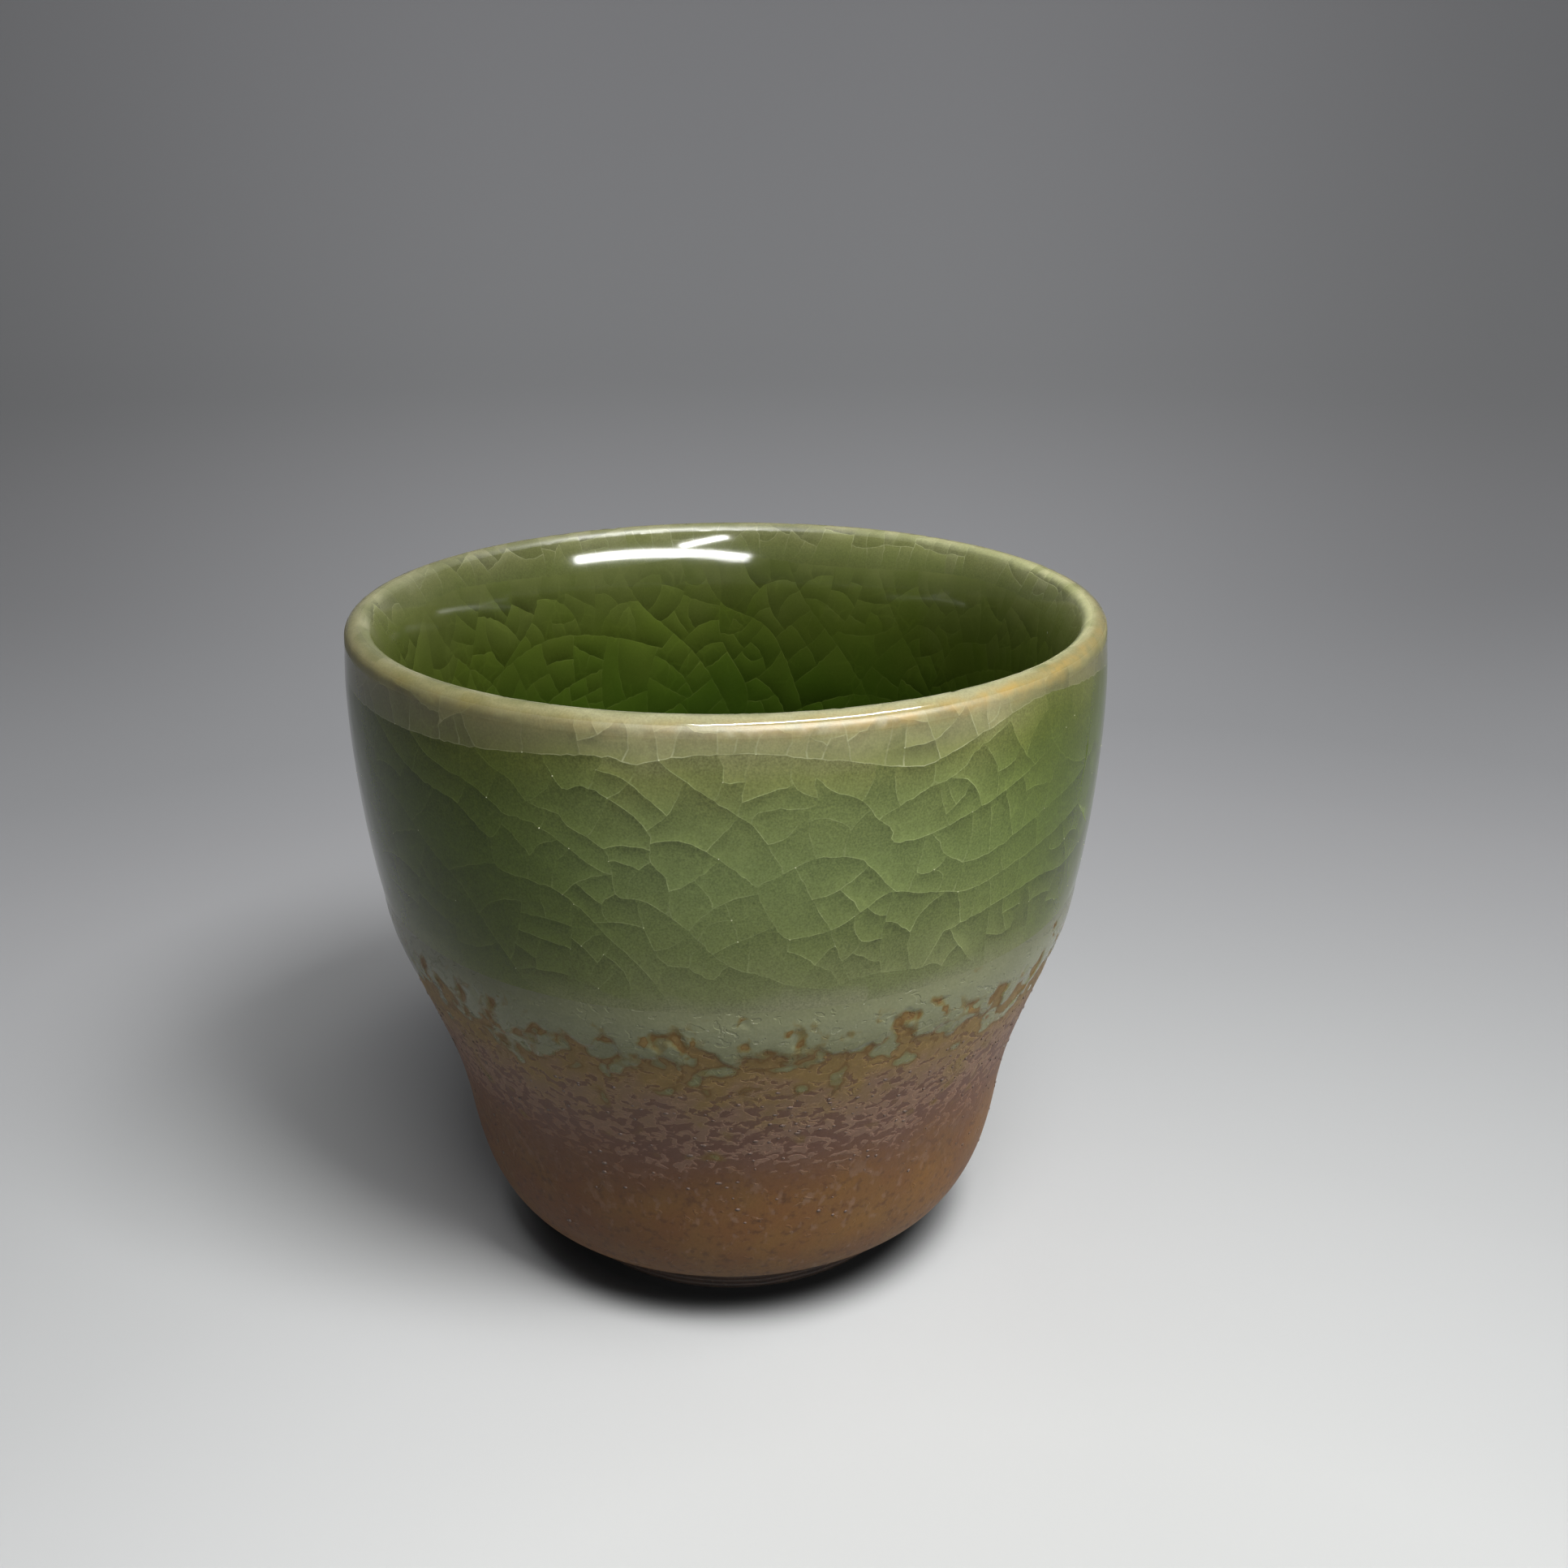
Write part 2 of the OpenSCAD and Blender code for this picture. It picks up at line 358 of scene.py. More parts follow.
def cutAlong(net, points):
    # Cuts every cell that a long crack crosses, from edge to edge of each
    step = crackle["step"]
    line = smoothLine(points, step)
    fresh, spent = [], set()
    for k, members in runsInCells(net, line):
        if k < 0 or len(members) < crackle["leastCut"] or k in spent:
            continue
        flat = net.cells[k]["flat"]
        run = line[members]
        # The edge is met half a step past the first point and the last
        i = nearestTo(flat, 1.5 * run[0] - 0.5 * run[1])
        j = nearestTo(flat, 1.5 * run[-1] - 0.5 * run[-2])
        if min((i - j) % len(flat), (j - i) % len(flat)) < crackle["leastCut"]:
            continue
        gap = np.sqrt(np.min(np.sum((run[:, None] - flat[None]) ** 2, 2), 1))
        kept = run[gap > crackle["clearAlong"] * step]
        if len(kept) < 2:
            continue
        fresh.extend(net.cut(net.cells[k], i, j, kept))
        spent.add(k)
    net.cells = [cell for k, cell in enumerate(net.cells) if k not in spent] + fresh


def crossing(flat, seat, way, bow):
    # One curved crack through a seat in a cell, between two points of the cell's edge
    step = crackle["step"]
    count = len(flat)
    side = np.array([-way[1], way[0]])
    ahead = (flat - seat) @ way
    beside = np.abs((flat - seat) @ side) < crackle["besideWay"] * step
    front = np.nonzero((ahead > 0) & beside)[0]
    rear = np.nonzero((ahead < 0) & beside)[0]
    if len(front) == 0 or len(rear) == 0:
        return None
    i = int(front[np.argmin(ahead[front])])
    j = int(rear[np.argmax(ahead[rear])])
    if min((i - j) % count, (j - i) % count) < crackle["leastCut"]:
        return None
    start, stop = flat[i], flat[j]
    length = float(np.hypot(*(stop - start)))
    t = np.linspace(0, 1, 24)[:, None]
    bend = (start + stop) / 2 + side * bow * 2 * length
    curve = (1 - t) ** 2 * start + 2 * t * (1 - t) * bend + t**2 * stop
    curve = spacedAlong(curve, step)[1:-1]
    if len(curve) < 1 or not insideOf(flat, curve).all():
        return None
    # It keeps clear of the edge, apart from its ends and the points on both sides of them
    gaps = np.sqrt(np.sum((curve[:, None] - flat[None]) ** 2, 2))
    for end, seats in ((slice(None, 2), (i - 1, i, i + 1)), (slice(-2, None), (j - 1, j, j + 1))):
        for at in seats:
            gaps[end, at % count] = math.inf
    return (i, j, curve) if gaps.min() >= crackle["clearOfEdge"] * step else None


def scoreOf(cell, i, j, curve):
    # Low for a crack that halves the cell, is short, and meets its edge squarely and off a joint
    flat = cell["flat"]
    count = len(flat)
    area = areaOf(flat)
    start, stop = flat[i], flat[j]
    part = [flat[i:j + 1], curve[::-1]] if i < j else [flat[j:i + 1], curve]
    share = areaOf(np.concatenate(part)) / area
    if not crackle["leastShare"] < share < 1 - crackle["leastShare"]:
        return math.inf
    slant = 0
    for at, toward in ((i, curve[0] - start), (j, curve[-1] - stop)):
        edge = flat[(at + 1) % count] - flat[(at - 1) % count]
        slant += abs(np.dot(edge, toward)) / (np.hypot(*edge) * np.hypot(*toward) + 1e-9)
    length = float(np.hypot(*(stop - start)))
    met = sum(1 for at in (i, j) if any(cell["ids"][(at + o) % count] in cell["joints"] for o in (-1, 0, 1)))
    return (crackScore["uneven"] * abs(share - 0.5) + crackScore["slanted"] * slant
            + crackScore["long"] * length / math.sqrt(area) + crackScore["onJoint"] * met)


def crackAcross(cell, rng):
    # The best of several curved cracks across the longer way of a cell
    flat = cell["flat"]
    size = math.sqrt(areaOf(flat))
    middle = flat.mean(0)
    x, y = np.linalg.eigh(np.cov((flat - middle).T))[1][:, 0]
    best, bestScore = None, math.inf
    for _ in range(crackle["tries"]):
        seat = middle + rng.normal(0, crackle["offCentre"], 2) * size
        turn = rng.normal(0, crackle["turn"])
        bow = rng.normal(0, crackle["bow"])
        way = np.array([x * math.cos(turn) - y * math.sin(turn), x * math.sin(turn) + y * math.cos(turn)])
        found = crossing(flat, seat, way, bow)
        score = scoreOf(cell, *found) if found else math.inf
        if score < bestScore:
            best, bestScore = found, score
    return best


def wantedSize(cell, rng):
    x, w = cell["flat"].mean(0)
    if net.disc:
        size = crackle["wellCellSize"]
    elif w > zones["innerRing"]:
        end, share = crackle["wellTop"]
        size = crackle["wellCellSize"] * (share if w < end else 1)
    elif w > crackle["lipFrom"]:
        start, share = crackle["lipInside"]
        size = crackle["lipCellSize"] * (share if w > start else 1)
    else:
        # Finer towards the right of the front, as the glaze is thicker there
        most, change, seat = crackle["coarse"]
        size = crackle["cellSize"] * (most - change * math.cos(x / crackle["girthRadius"] - seat))
    return size * math.exp(rng.normal(0, crackle["cellSpread"]))


def breakUp(net, rng):
    # Later cracks stop at earlier ones, so the work list is gone through largest first
    joints = set()
    waiting = [dict(cell, wanted=wantedSize(cell, rng), joints=joints) for cell in net.cells]
    done = []
    while waiting:
        cell = waiting.pop()
        found = crackAcross(cell, rng) if areaOf(cell["flat"]) > cell["wanted"] else None
        if found is None:
            done.append(cell)
            continue
        joints.update((cell["ids"][found[0]], cell["ids"][found[1]]))
        for part in net.cut(cell, *found):
            waiting.append(dict(part, wanted=wantedSize(part, rng)))
    net.cells = done
    return joints


def unit(rows):
    return rows / np.maximum(np.hypot(*rows.T), 1e-9)[:, None]


def edgesOf(flat):
    # The edges of a cell and the outward direction of each
    edge = np.roll(flat, -1, 0) - flat
    return edge, unit(np.stack([edge[:, 1], -edge[:, 0]], 1))


def pointsInside(flat, rng):
    # A row of points close beside the edge of a cell, and an uneven grid inside it
    step = crackle["fill"]
    low, high = flat.min(0) - step, flat.max(0) + step
    rows = np.arange(low[1], high[1], step * 0.866)
    grid = [(x + (step / 2 if k % 2 else 0), y) for k, y in enumerate(rows)
            for x in np.arange(low[0], high[0], step)]
    grid = np.array(grid) + rng.normal(0, crackle["fillJitter"], (len(grid), 2))
    grid = grid[insideOf(flat, grid)]
    grid = grid[distanceTo(flat, grid) > crackle["clear"]] if len(grid) else grid
    normal = edgesOf(flat)[1]
    beside = flat + unit(-(normal + np.roll(normal, 1, 0))) * crackle["rim"]
    beside = beside[insideOf(flat, beside)]
    beside = beside[distanceTo(flat, beside) > 0.8 * crackle["rim"]] if len(beside) else beside
    return np.concatenate([beside.reshape(-1, 2), grid.reshape(-1, 2)])


def triangulate(flat, extra):
    # Triangles between the points of a cell's edge and the points inside it
    points = [Vector(p) for p in np.concatenate([flat, extra])]
    made = delaunay_2d_cdt(points, [], [list(range(len(flat)))], 1, 1e-5)
    back = {k: min(group) for k, group in enumerate(made[3]) if group}
    return [[back[v] for v in face] for face in made[2] if all(v in back for v in face)]


def plateTones(flat, points):
    # Painted light and shade of the slanted cracks: a plate is pale along the edges where it lies
    # over the next ones and dark where it lies under
    edge, normal = edgesOf(flat)
    middle = flat + edge / 2
    most, change, scale = crackle["strength"]
    seats = [Vector((x * scale, y * scale, 3.7)) for x, y in middle]
    strength = np.array([most + change * noise.noise(seat) for seat in seats])
    facing = normal @ (np.array(crackle["down"]) / np.hypot(*crackle["down"]))
    gap = np.sum((points[:, None] - middle[None]) ** 2, 2)
    tones = []
    for reach in (crackle["fineReach"], crackle["broadReach"]):
        kernel = np.exp(-gap / (2 * reach * reach)) / (math.sqrt(2 * math.pi) * reach)
        tones.append((kernel * (facing * strength * np.hypot(*edge.T))[None]).sum(1))
    return tones


def fillCell(net, cell, rng):
    # Triangles of one cell, with the painted light and shade of its plate worked out at every corner
    flat = cell["flat"]
    count = len(flat)
    extra = pointsInside(flat, rng)
    triangles = triangulate(flat, extra)
    # A triangle that touches nothing but the edge gets a point of its own
    blind = [t for t in triangles if max(t) < count]
    if blind:
        centres = np.array([flat[t].mean(0) for t in blind])
        far = distanceTo(flat, centres) > crackle["blind"]
        if far.any():
            extra = np.concatenate([extra, centres[far]])
            triangles = triangulate(flat, extra)
    points = np.concatenate([flat, extra])
    triangles = np.array(triangles, int).reshape(-1, 3)
    a, b, c = (points[triangles[:, k]] for k in range(3))
    turned = (b[:, 0] - a[:, 0]) * (c[:, 1] - a[:, 1]) - (b[:, 1] - a[:, 1]) * (c[:, 0] - a[:, 0]) < 0
    triangles[turned] = triangles[turned][:, ::-1]
    fine, broad = plateTones(flat, points)
    apart = np.concatenate([np.zeros(count), distanceTo(flat, extra)]) if len(extra) else np.zeros(count)
    return {
        "ids": np.array(cell["ids"] + net.add(extra), int)[triangles],
        "fine": fine[triangles],
        "broad": broad[triangles],
        "apart": apart[triangles],
        "plate": np.full(triangles.shape, rng.random()),
    }


def drawStrip(net):
    # The wall unrolled, from the top of the pale edge over the lip to the low part of the well
    half = math.pi * crackle["girthRadius"]
    step = crackle["step"]
    low, high = zones["rollTop"], insideAt(crackle["floorHeight"])
    xs = np.linspace(-half, half, int(round(2 * half / step)) + 1)
    ys = np.linspace(low, high, int(round((high - low) / step)) + 1)
    sway = sum(size * np.sin(ys / length + shift) for size, length, shift in crackle["sway"])
    inner = list(zip(sway, ys))[1:-1]
    bottom = net.add([(x, low) for x in xs[:-1]])
    top = net.add([(x, high) for x in xs[:-1]])
    seam = net.add([(-half + s, y) for s, y in inner])
    ids = bottom + [bottom[0]] + seam + [top[0]] + top[::-1] + seam[::-1]
    flat = ([(x, low) for x in xs] + [(half + s, y) for s, y in inner]
            + [(x, high) for x in xs[::-1]] + [(-half + s, y) for s, y in inner[::-1]])
    net.cells = [{"ids": ids, "flat": np.array(flat)}]
    return top


def ringAcross(net, points):
    # A crack right round the cup, which ends where it began
    girth = crackle["girthRadius"]
    line = smoothLine([(math.radians(a) * girth, w) for a, w in points], crackle["step"])
    middle = line[len(line) // 2:len(line) // 2 + 1]
    whole = next(cell for cell in net.cells if insideOf(cell["flat"], middle)[0])
    flat, ids = whole["flat"], whole["ids"]
    seam = math.pi * girth - crackle["seamReach"]
    left = [k for k in range(1, len(flat)) if flat[k, 0] < -seam]
    i = min(left, key=lambda k: abs(flat[k, 1] - points[0][1]))
    j = next(k for k in range(len(flat)) if flat[k, 0] > seam and ids[k] == ids[i])
    for end, seat, pull in ((0, i, np.linspace(1, 0, len(line))), (-1, j, np.linspace(0, 1, len(line)))):
        line = line + (flat[seat] - line[end]) * pull[:, None] ** 6
    net.cells = [cell for cell in net.cells if cell is not whole] + list(net.cut(whole, i, j, line[1:-1]))


net = Net()
rng = np.random.default_rng(crackle["seed"])
stripEnd = drawStrip(net)
for name in ("outer", "inner"):
    ringAcross(net, ringCracks[name])
for cell in net.cells:
    low, high = cell["flat"][:, 1].min(), cell["flat"][:, 1].max()
    cell["zone"] = "outer" if low < zones["rollTop"] + 1 else "well" if high > zones["wellMiddle"] else "lip"
for crack in longCracks + sweepCracks():
    for turn in (-360, 0, 360):
        cutAlong(net, [(math.radians(a + turn) * crackle["girthRadius"], w) for a, w in crack])
joints = breakUp(net, rng)
print("crackle: %d cells on the wall" % len(net.cells))
patches = [(cell["zone"], fillCell(net, cell, rng)) for cell in net.cells]

# The floor of the well is cut up as a disc
net.disc = True
edgeAngles = [net.angles[k] for k in stripEnd]
edgeRadius = float(radiusAt(insideAt(crackle["floorHeight"])))
net.cells = [{"ids": list(stripEnd), "zone": "well",
              "flat": np.array([(edgeRadius * math.sin(a), -edgeRadius * math.cos(a)) for a in edgeAngles])}]
joints |= breakUp(net, rng)
patches += [(cell["zone"], fillCell(net, cell, rng)) for cell in net.cells]
print("crackle: %d cells on the floor, %d points in all" % (len(net.cells), len(net.angles)))

netAngles, netWays = np.array(net.angles), np.array(net.ways)
netPoints, netNormals = placeOnCup(netAngles, netWays)


def meshFrom(name, points, faces, normals, cornerValues=None, pointValues=None):
    mesh = bpy.data.meshes.new(name)
    mesh.from_pydata((points * mm).tolist(), [], faces)
    mesh.shade_smooth()
    for domain, layers in (("CORNER", cornerValues), ("POINT", pointValues)):
        for key, values in (layers or {}).items():
            layer = mesh.attributes.new(key, "FLOAT", domain)
            layer.data.foreach_set("value", np.asarray(values, np.float32))
    mesh.normals_split_custom_set_from_vertices(normals.tolist())
    piece = bpy.data.objects.new(name, mesh)
    bpy.context.scene.collection.objects.link(piece)
    return piece


stainLook = {
    "way": -1.3,               # millimetres from the top of the lip
    "reach": 0.6,
    "climb": 0.6,              # how much higher it lies between two angles
    "climbFrom": 32,
    "climbTo": 150,
    "climbOver": 26,
    "strong": 30,              # degrees round to the right, where most of it is
    "spread": 34,
    "least": 0.16,
}


def stainAt(angles, ways):
    # Ochre stain along the outer edge of the lip
    look = stainLook
    around = np.degrees(angles)
    turn = np.degrees(np.abs((angles - math.radians(look["strong"]) + math.pi) % (2 * math.pi) - math.pi))
    side = look["least"] + (1 - look["least"]) * np.exp(-(turn / look["spread"]) ** 2)
    climb = (np.clip((around - look["climbFrom"]) / look["climbOver"], 0, 1)
             * np.clip((look["climbTo"] - around) / look["climbOver"], 0, 1))
    return side * np.exp(-((ways - look["way"] - look["climb"] * climb) / look["reach"]) ** 2)


def glazeShell(name, zone, thickness):
    # The plates of one zone as a closed coat, its back face parallel to its front
    parts = [patch for kind, patch in patches if kind == zone]
    used, local = np.unique(np.concatenate([part["ids"] for part in parts]), return_inverse=True)
    faces = local.reshape(-1, 3)
    count = len(used)
    points, normals = netPoints[used], netNormals[used]
    edges = np.concatenate([faces[:, [0, 1]], faces[:, [1, 2]], faces[:, [2, 0]]])
    keys = {tuple(e) for e in edges.tolist()}
    rim = sorted((a, b) for a, b in keys if (b, a) not in keys)
    walls = [[b, a, a + count, b + count] for a, b in rim]
    allFaces = faces.tolist() + (faces[:, ::-1] + count).tolist() + walls
    back = len(faces) * 3 + len(walls) * 4
    values = {}
    for key, rest in (("fine", 0), ("broad", 0), ("apart", 1), ("plate", 0.5)):
        front = np.concatenate([part[key] for part in parts]).ravel()
        values[key] = np.concatenate([front, np.full(back, rest)])
    ways = np.tile(netWays[used], 2)
    stain = stainAt(np.tile(netAngles[used], 2), ways)
    piece = meshFrom(name, np.concatenate([points, points - normals * thickness]), allFaces,
                     np.concatenate([normals, -normals]), values, {"way": ways, "stain": stain})
    print("%s: %d faces" % (name, len(allFaces)))
    return piece


coatDepth = 0.46
outerGlaze = glazeShell("outerGlaze", "outer", coatDepth)
lipGlaze = glazeShell("lipGlaze", "lip", coatDepth)
wellGlaze = glazeShell("wellGlaze", "well", coatDepth)

camera = {
    "lens": 33.28,
    "sensor": 36,
    "nearest": 0.005,
    "place": (0, -123.76, 92.13),
    "turn": 0.0390158,         # radians to the right
    "tip": 0.3827506,          # radians down
}


def setCamera(look):
    data = bpy.data.cameras.new("camera")
    data.lens = look["lens"]
    data.sensor_width = look["sensor"]
    data.clip_start = look["nearest"]
    body = bpy.data.objects.new("camera", data)
    bpy.context.scene.collection.objects.link(body)
    turn, tip = look["turn"], look["tip"]
    forward = Vector((math.sin(turn) * math.cos(tip), math.cos(turn) * math.cos(tip), -math.sin(tip)))
    right = Vector((math.cos(turn), -math.sin(turn), 0))
    axes = Matrix((right, right.cross(forward), -forward)).transposed().to_4x4()
    body.matrix_world = Matrix.Translation(Vector(look["place"]) * mm) @ axes
    bpy.context.scene.camera = body


setCamera(camera)


# Nodes. An input is given as a plain value, or as the socket or the node that feeds it
def addNode(tree, kind, inputs=None, **settings):
    made = tree.nodes.new(kind)
    for key, value in settings.items():
        setattr(made, key, value)
    for key, value in (inputs or {}).items():
        if isinstance(value, bpy.types.Node):
            value = value.outputs[0]
        if isinstance(value, bpy.types.NodeSocket):
            tree.links.new(value, made.inputs[key])
        else:
            made.inputs[key].default_value = value
    return made


def objectPlace(tree):
    return addNode(tree, "ShaderNodeTexCoord").outputs["Object"]


def axesOf(tree, place):
    return addNode(tree, "ShaderNodeSeparateXYZ", {0: place}).outputs


def readValue(tree, name):
    return addNode(tree, "ShaderNodeAttribute", attribute_name=name).outputs["Fac"]


def calc(tree, operation, a, b=0.0, c=0.0):
    return addNode(tree, "ShaderNodeMath", {0: a, 1: b, 2: c}, operation=operation).outputs[0]


def times(tree, first, *others):
    for other in others:
        first = calc(tree, "MULTIPLY", first, other)
    return first


def changed(tree, base, change, amount):
    return calc(tree, "MULTIPLY_ADD", change, amount, base)


def vectorCalc(tree, operation, a, b=(0, 0, 0), output="Vector"):
    return addNode(tree, "ShaderNodeVectorMath", {0: a, 1: b}, operation=operation).outputs[output]


def ranged(tree, value, low, high, bottom=0.0, top=1.0, smooth=True):
    return addNode(tree, "ShaderNodeMapRange", {"Value": value, "From Min": low, "From Max": high,
                                                "To Min": bottom, "To Max": top},
                   interpolation_type="SMOOTHSTEP" if smooth else "LINEAR").outputs[0]


def grain(tree, size, detail=2.0, squash=(1, 1, 1), seat=(0, 0, 0), distortion=0.0):
    # Noise whose patches are about this many millimetres across
    where = objectPlace(tree)
    placed = addNode(tree, "ShaderNodeMapping", {"Vector": where, "Location": seat, "Scale": squash})
    return addNode(tree, "ShaderNodeTexNoise", {"Vector": placed, "Scale": 1 / (size * mm), "Detail": detail,
                                                "Distortion": distortion}).outputs["Fac"]


def swing(tree, *size, **more):
    # The same noise as a change about nothing, down and up
    return calc(tree, "SUBTRACT", grain(tree, *size, **more), 0.5)


def blend(tree, factor, a, b):
    return addNode(tree, "ShaderNodeMix", {"Factor": factor, 6: a, 7: b}, data_type="RGBA").outputs[2]


def over(tree, colour, coat, factor):
    # A flat colour laid over another
    return blend(tree, factor, colour, sRgb(*coat))


def brighten(tree, colour, factor):
    colour = colour[:3] if isinstance(colour, tuple) else colour
    return addNode(tree, "ShaderNodeVectorMath", {0: colour, "Scale": factor}, operation="SCALE").outputs[0]


def tinted(tree, colour, shade, share):
    # A colour times a tint that goes to white as the share goes to 1
    tint = addNode(tree, "ShaderNodeMix", {"Factor": share, 4: shade, 5: (1, 1, 1)}, data_type="VECTOR")
    return vectorCalc(tree, "MULTIPLY", colour, tint.outputs[1])


def sRgb(red, green, blue):
    # A colour as it is read off a screen, from 0 to 255, made linear
    parts = [((c / 255 + 0.055) / 1.055) ** 2.4 if c > 10 else c / 3294.6 for c in (red, green, blue)]
    return (*parts, 1)


def fillRamp(ramp, stops):
    ramp.color_ramp.interpolation = "B_SPLINE" if len(stops) > 6 else "EASE"
    while len(ramp.color_ramp.elements) < len(stops):
        ramp.color_ramp.elements.new(1)
    for element, (at, colour) in zip(ramp.color_ramp.elements, stops):
        element.position = min(1, max(0, at))
        element.color = colour


def rampOver(tree, value, stops):
    # A colour ramp over a length: (millimetres, colour) from the lowest to the highest
    low, high = stops[0][0], stops[-1][0]
    ramp = addNode(tree, "ShaderNodeValToRGB", {"Fac": ranged(tree, value, low, high, smooth=False)})
    fillRamp(ramp, [((at - low) / (high - low), sRgb(*colour)) for at, colour in stops])
    ramp.color_ramp.interpolation = "LINEAR"
    return ramp.outputs["Color"]


def floatRamp(tree, value, stops):
    # A number that changes along a length, through straight stretches
    total = stops[0][1]
    for (a, x), (b, y) in zip(stops[:-1], stops[1:]):
        total = calc(tree, "ADD", ranged(tree, value, a, b, 0.0, y - x, smooth=False), total)
    return total


def bumpFrom(tree, height, distance, normal=None):
    inputs = {"Height": height, "Distance": distance * mm, "Strength": 1.0}
    if normal is not None:
        inputs["Normal"] = normal
    return addNode(tree, "ShaderNodeBump", inputs).outputs["Normal"]


def startPaint(name, look):
    material = bpy.data.materials.new(name)
    material.use_nodes = True
    skin = material.node_tree.nodes["Principled BSDF"]
    skin.inputs["Roughness"].default_value = look["roughness"]
    skin.inputs["Specular IOR Level"].default_value = look.get("shine", 0.5)
    return material, material.node_tree, skin


studio = {
    "worldColour": (0.86, 0.90, 0.97, 1),
    "worldStrength": 0.04,
    # Metres and degrees: turn is round to the right of the front, and rise is up from level
    "lamps": {
        "high": {"power": 30, "size": (1.4, 0.7), "turn": 28, "rise": 70, "distance": 2.5, "shine": False},
        "side": {"power": 58, "size": (0.9, 0.7), "turn": 51, "rise": 52, "distance": 2.5, "shine": False},
        "fill": {"power": 6.5, "size": (1.6, 1.2), "turn": 205, "rise": 38, "distance": 2.3, "shine": False},
        "line": {"power": 190, "size": (2.3, 0.18), "turn": 35, "rise": 66, "distance": 2.5, "light": False},
        "bar": {"power": 26, "size": (1.25, 0.11), "turn": 26, "rise": 27.5, "distance": 1.04, "roll": 3,
                "light": False},
        "glint": {"power": 4.2, "size": (0.3, 0.06), "turn": 10, "rise": 36.8, "distance": 1.04, "roll": -30,
                  "light": False},
    },
}
sweepShape = {"rings": (0.1, 0.3, 0.6), "radius": 0.7, "bend": 0.65, "wallHeight": 0.8, "columns": 96}
sweepLook = {
    "roughness": 0.9, "shine": 0.1,
    "bounceShare": 0.3,        # how much of the paper's paleness goes on to the cup
    # A painted pool of light, palest in front: metres from its middle, colour
    "paintedPoolMiddle": (0.02, -0.095, 0),
    "steps": [(0.03, (210, 211, 210)), (0.06, (203, 204, 203)), (0.081, (192, 193, 193)),
              (0.10, (184, 185, 185)), (0.14, (162, 163, 164)), (0.197, (143, 143, 145)),
              (0.237, (138, 139, 141)), (0.511, (124, 124, 126)), (0.85, (123, 124, 125)),
              (1.6, (118, 118, 121))],
    "root": 0.4,
    # Painted shade behind the cup, deepening towards both sides: share, slant from a place in front,
    # metres back
    "sides": 0.36, "sidesFrom": 0.124, "slant": (0.1, 0.6), "behind": (0.0, 0.25),
    # A painted shadow right under the cup: metres from the middle, least share
    "paintedShadow": (0.0188, 0.0245), "paintedShadowShare": 0.012,
}


def lampAt(name, lamp):
    light = bpy.data.lights.new(name, "AREA")
    light.shape = "RECTANGLE"
    light.size, light.size_y = lamp["size"]
    light.energy = lamp["power"]
    body = bpy.data.objects.new(name, light)
    bpy.context.scene.collection.objects.link(body)
    turn, rise = math.radians(lamp["turn"]), math.radians(lamp["rise"])
    way = Vector((math.sin(turn) * math.cos(rise), -math.cos(turn) * math.cos(rise), math.sin(rise)))
    aimed = way.to_track_quat("Z", "Y").to_matrix().to_4x4()
    rolled = Matrix.Rotation(math.radians(lamp.get("roll", 0)), 4, "Z")
    body.matrix_world = Matrix.Translation(way * lamp["distance"]) @ aimed @ rolled
    body.visible_diffuse = lamp.get("light", True)
    body.visible_glossy = lamp.get("shine", True)


def sweepMesh(shape):
    # A round sweep: flat floor, a bend, and a low wall
    radius, bend, count = shape["radius"], shape["bend"], shape["columns"]
    profile = [(r, 0) for r in shape["rings"]]
    for a in np.linspace(0, math.pi / 2, 13):
        profile.append((radius + bend * math.sin(a), bend * (1 - math.cos(a))))
    profile.append((radius + bend, shape["wallHeight"]))
    around = [2 * math.pi * k / count for k in range(count)]
    points = [(r * math.cos(a), r * math.sin(a), z) for r, z in profile for a in around] + [(0, 0, 0)]
    sides = [(k, (k + 1) % count) for k in range(count)]
    faces = [(j * count + a, (j + 1) * count + a, (j + 1) * count + b, j * count + b)
             for j in range(len(profile) - 1) for a, b in sides]
    faces += [(len(points) - 1, a, b) for a, b in sides]
    mesh = bpy.data.meshes.new("sweep")
    mesh.from_pydata(points, [], faces)
    mesh.shade_smooth()
    return mesh


def sweepPaper(look):
    material, tree, skin = startPaint("sweepPaper", look)
    place = objectPlace(tree)
    axes = axesOf(tree, place)
    # The painted pool of light: its steps are close together near the cup,
    # so the ramp runs on a root of the distance
    away = vectorCalc(tree, "DISTANCE", place, look["paintedPoolMiddle"], "Value")
    first, last = look["steps"][0][0], look["steps"][-1][0]
    root = calc(tree, "POWER", ranged(tree, away, first, last, smooth=False), look["root"])
    ramp = addNode(tree, "ShaderNodeValToRGB", {"Fac": root})
    fillRamp(ramp, [(((far - first) / (last - first)) ** look["root"], sRgb(*colour))
                    for far, colour in look["steps"]])
    path = addNode(tree, "ShaderNodeLightPath").outputs
    seen = calc(tree, "MAXIMUM", path["Is Camera Ray"], path["Is Glossy Ray"])
    seen = ranged(tree, seen, 0.0, 1.0, look["bounceShare"], smooth=False)
    # Painted shade towards both sides behind the cup
    back = calc(tree, "MAXIMUM", calc(tree, "ADD", axes["Y"], look["sidesFrom"]), 0.05)
    slant = calc(tree, "DIVIDE", calc(tree, "ABSOLUTE", axes["X"]), back)
    paintedSideShade = times(tree, ranged(tree, slant, *look["slant"]), ranged(tree, axes["Y"], *look["behind"]))
    # A painted shadow right under the cup
    inward = vectorCalc(tree, "LENGTH", place, output="Value")
    paintedShadow = ranged(tree, inward, *look["paintedShadow"], look["paintedShadowShare"])
    share = times(tree, seen, changed(tree, 1.0, paintedSideShade, -look["sides"]), paintedShadow)
    tree.links.new(brighten(tree, ramp.outputs["Color"], share), skin.inputs["Base Color"])
    return material


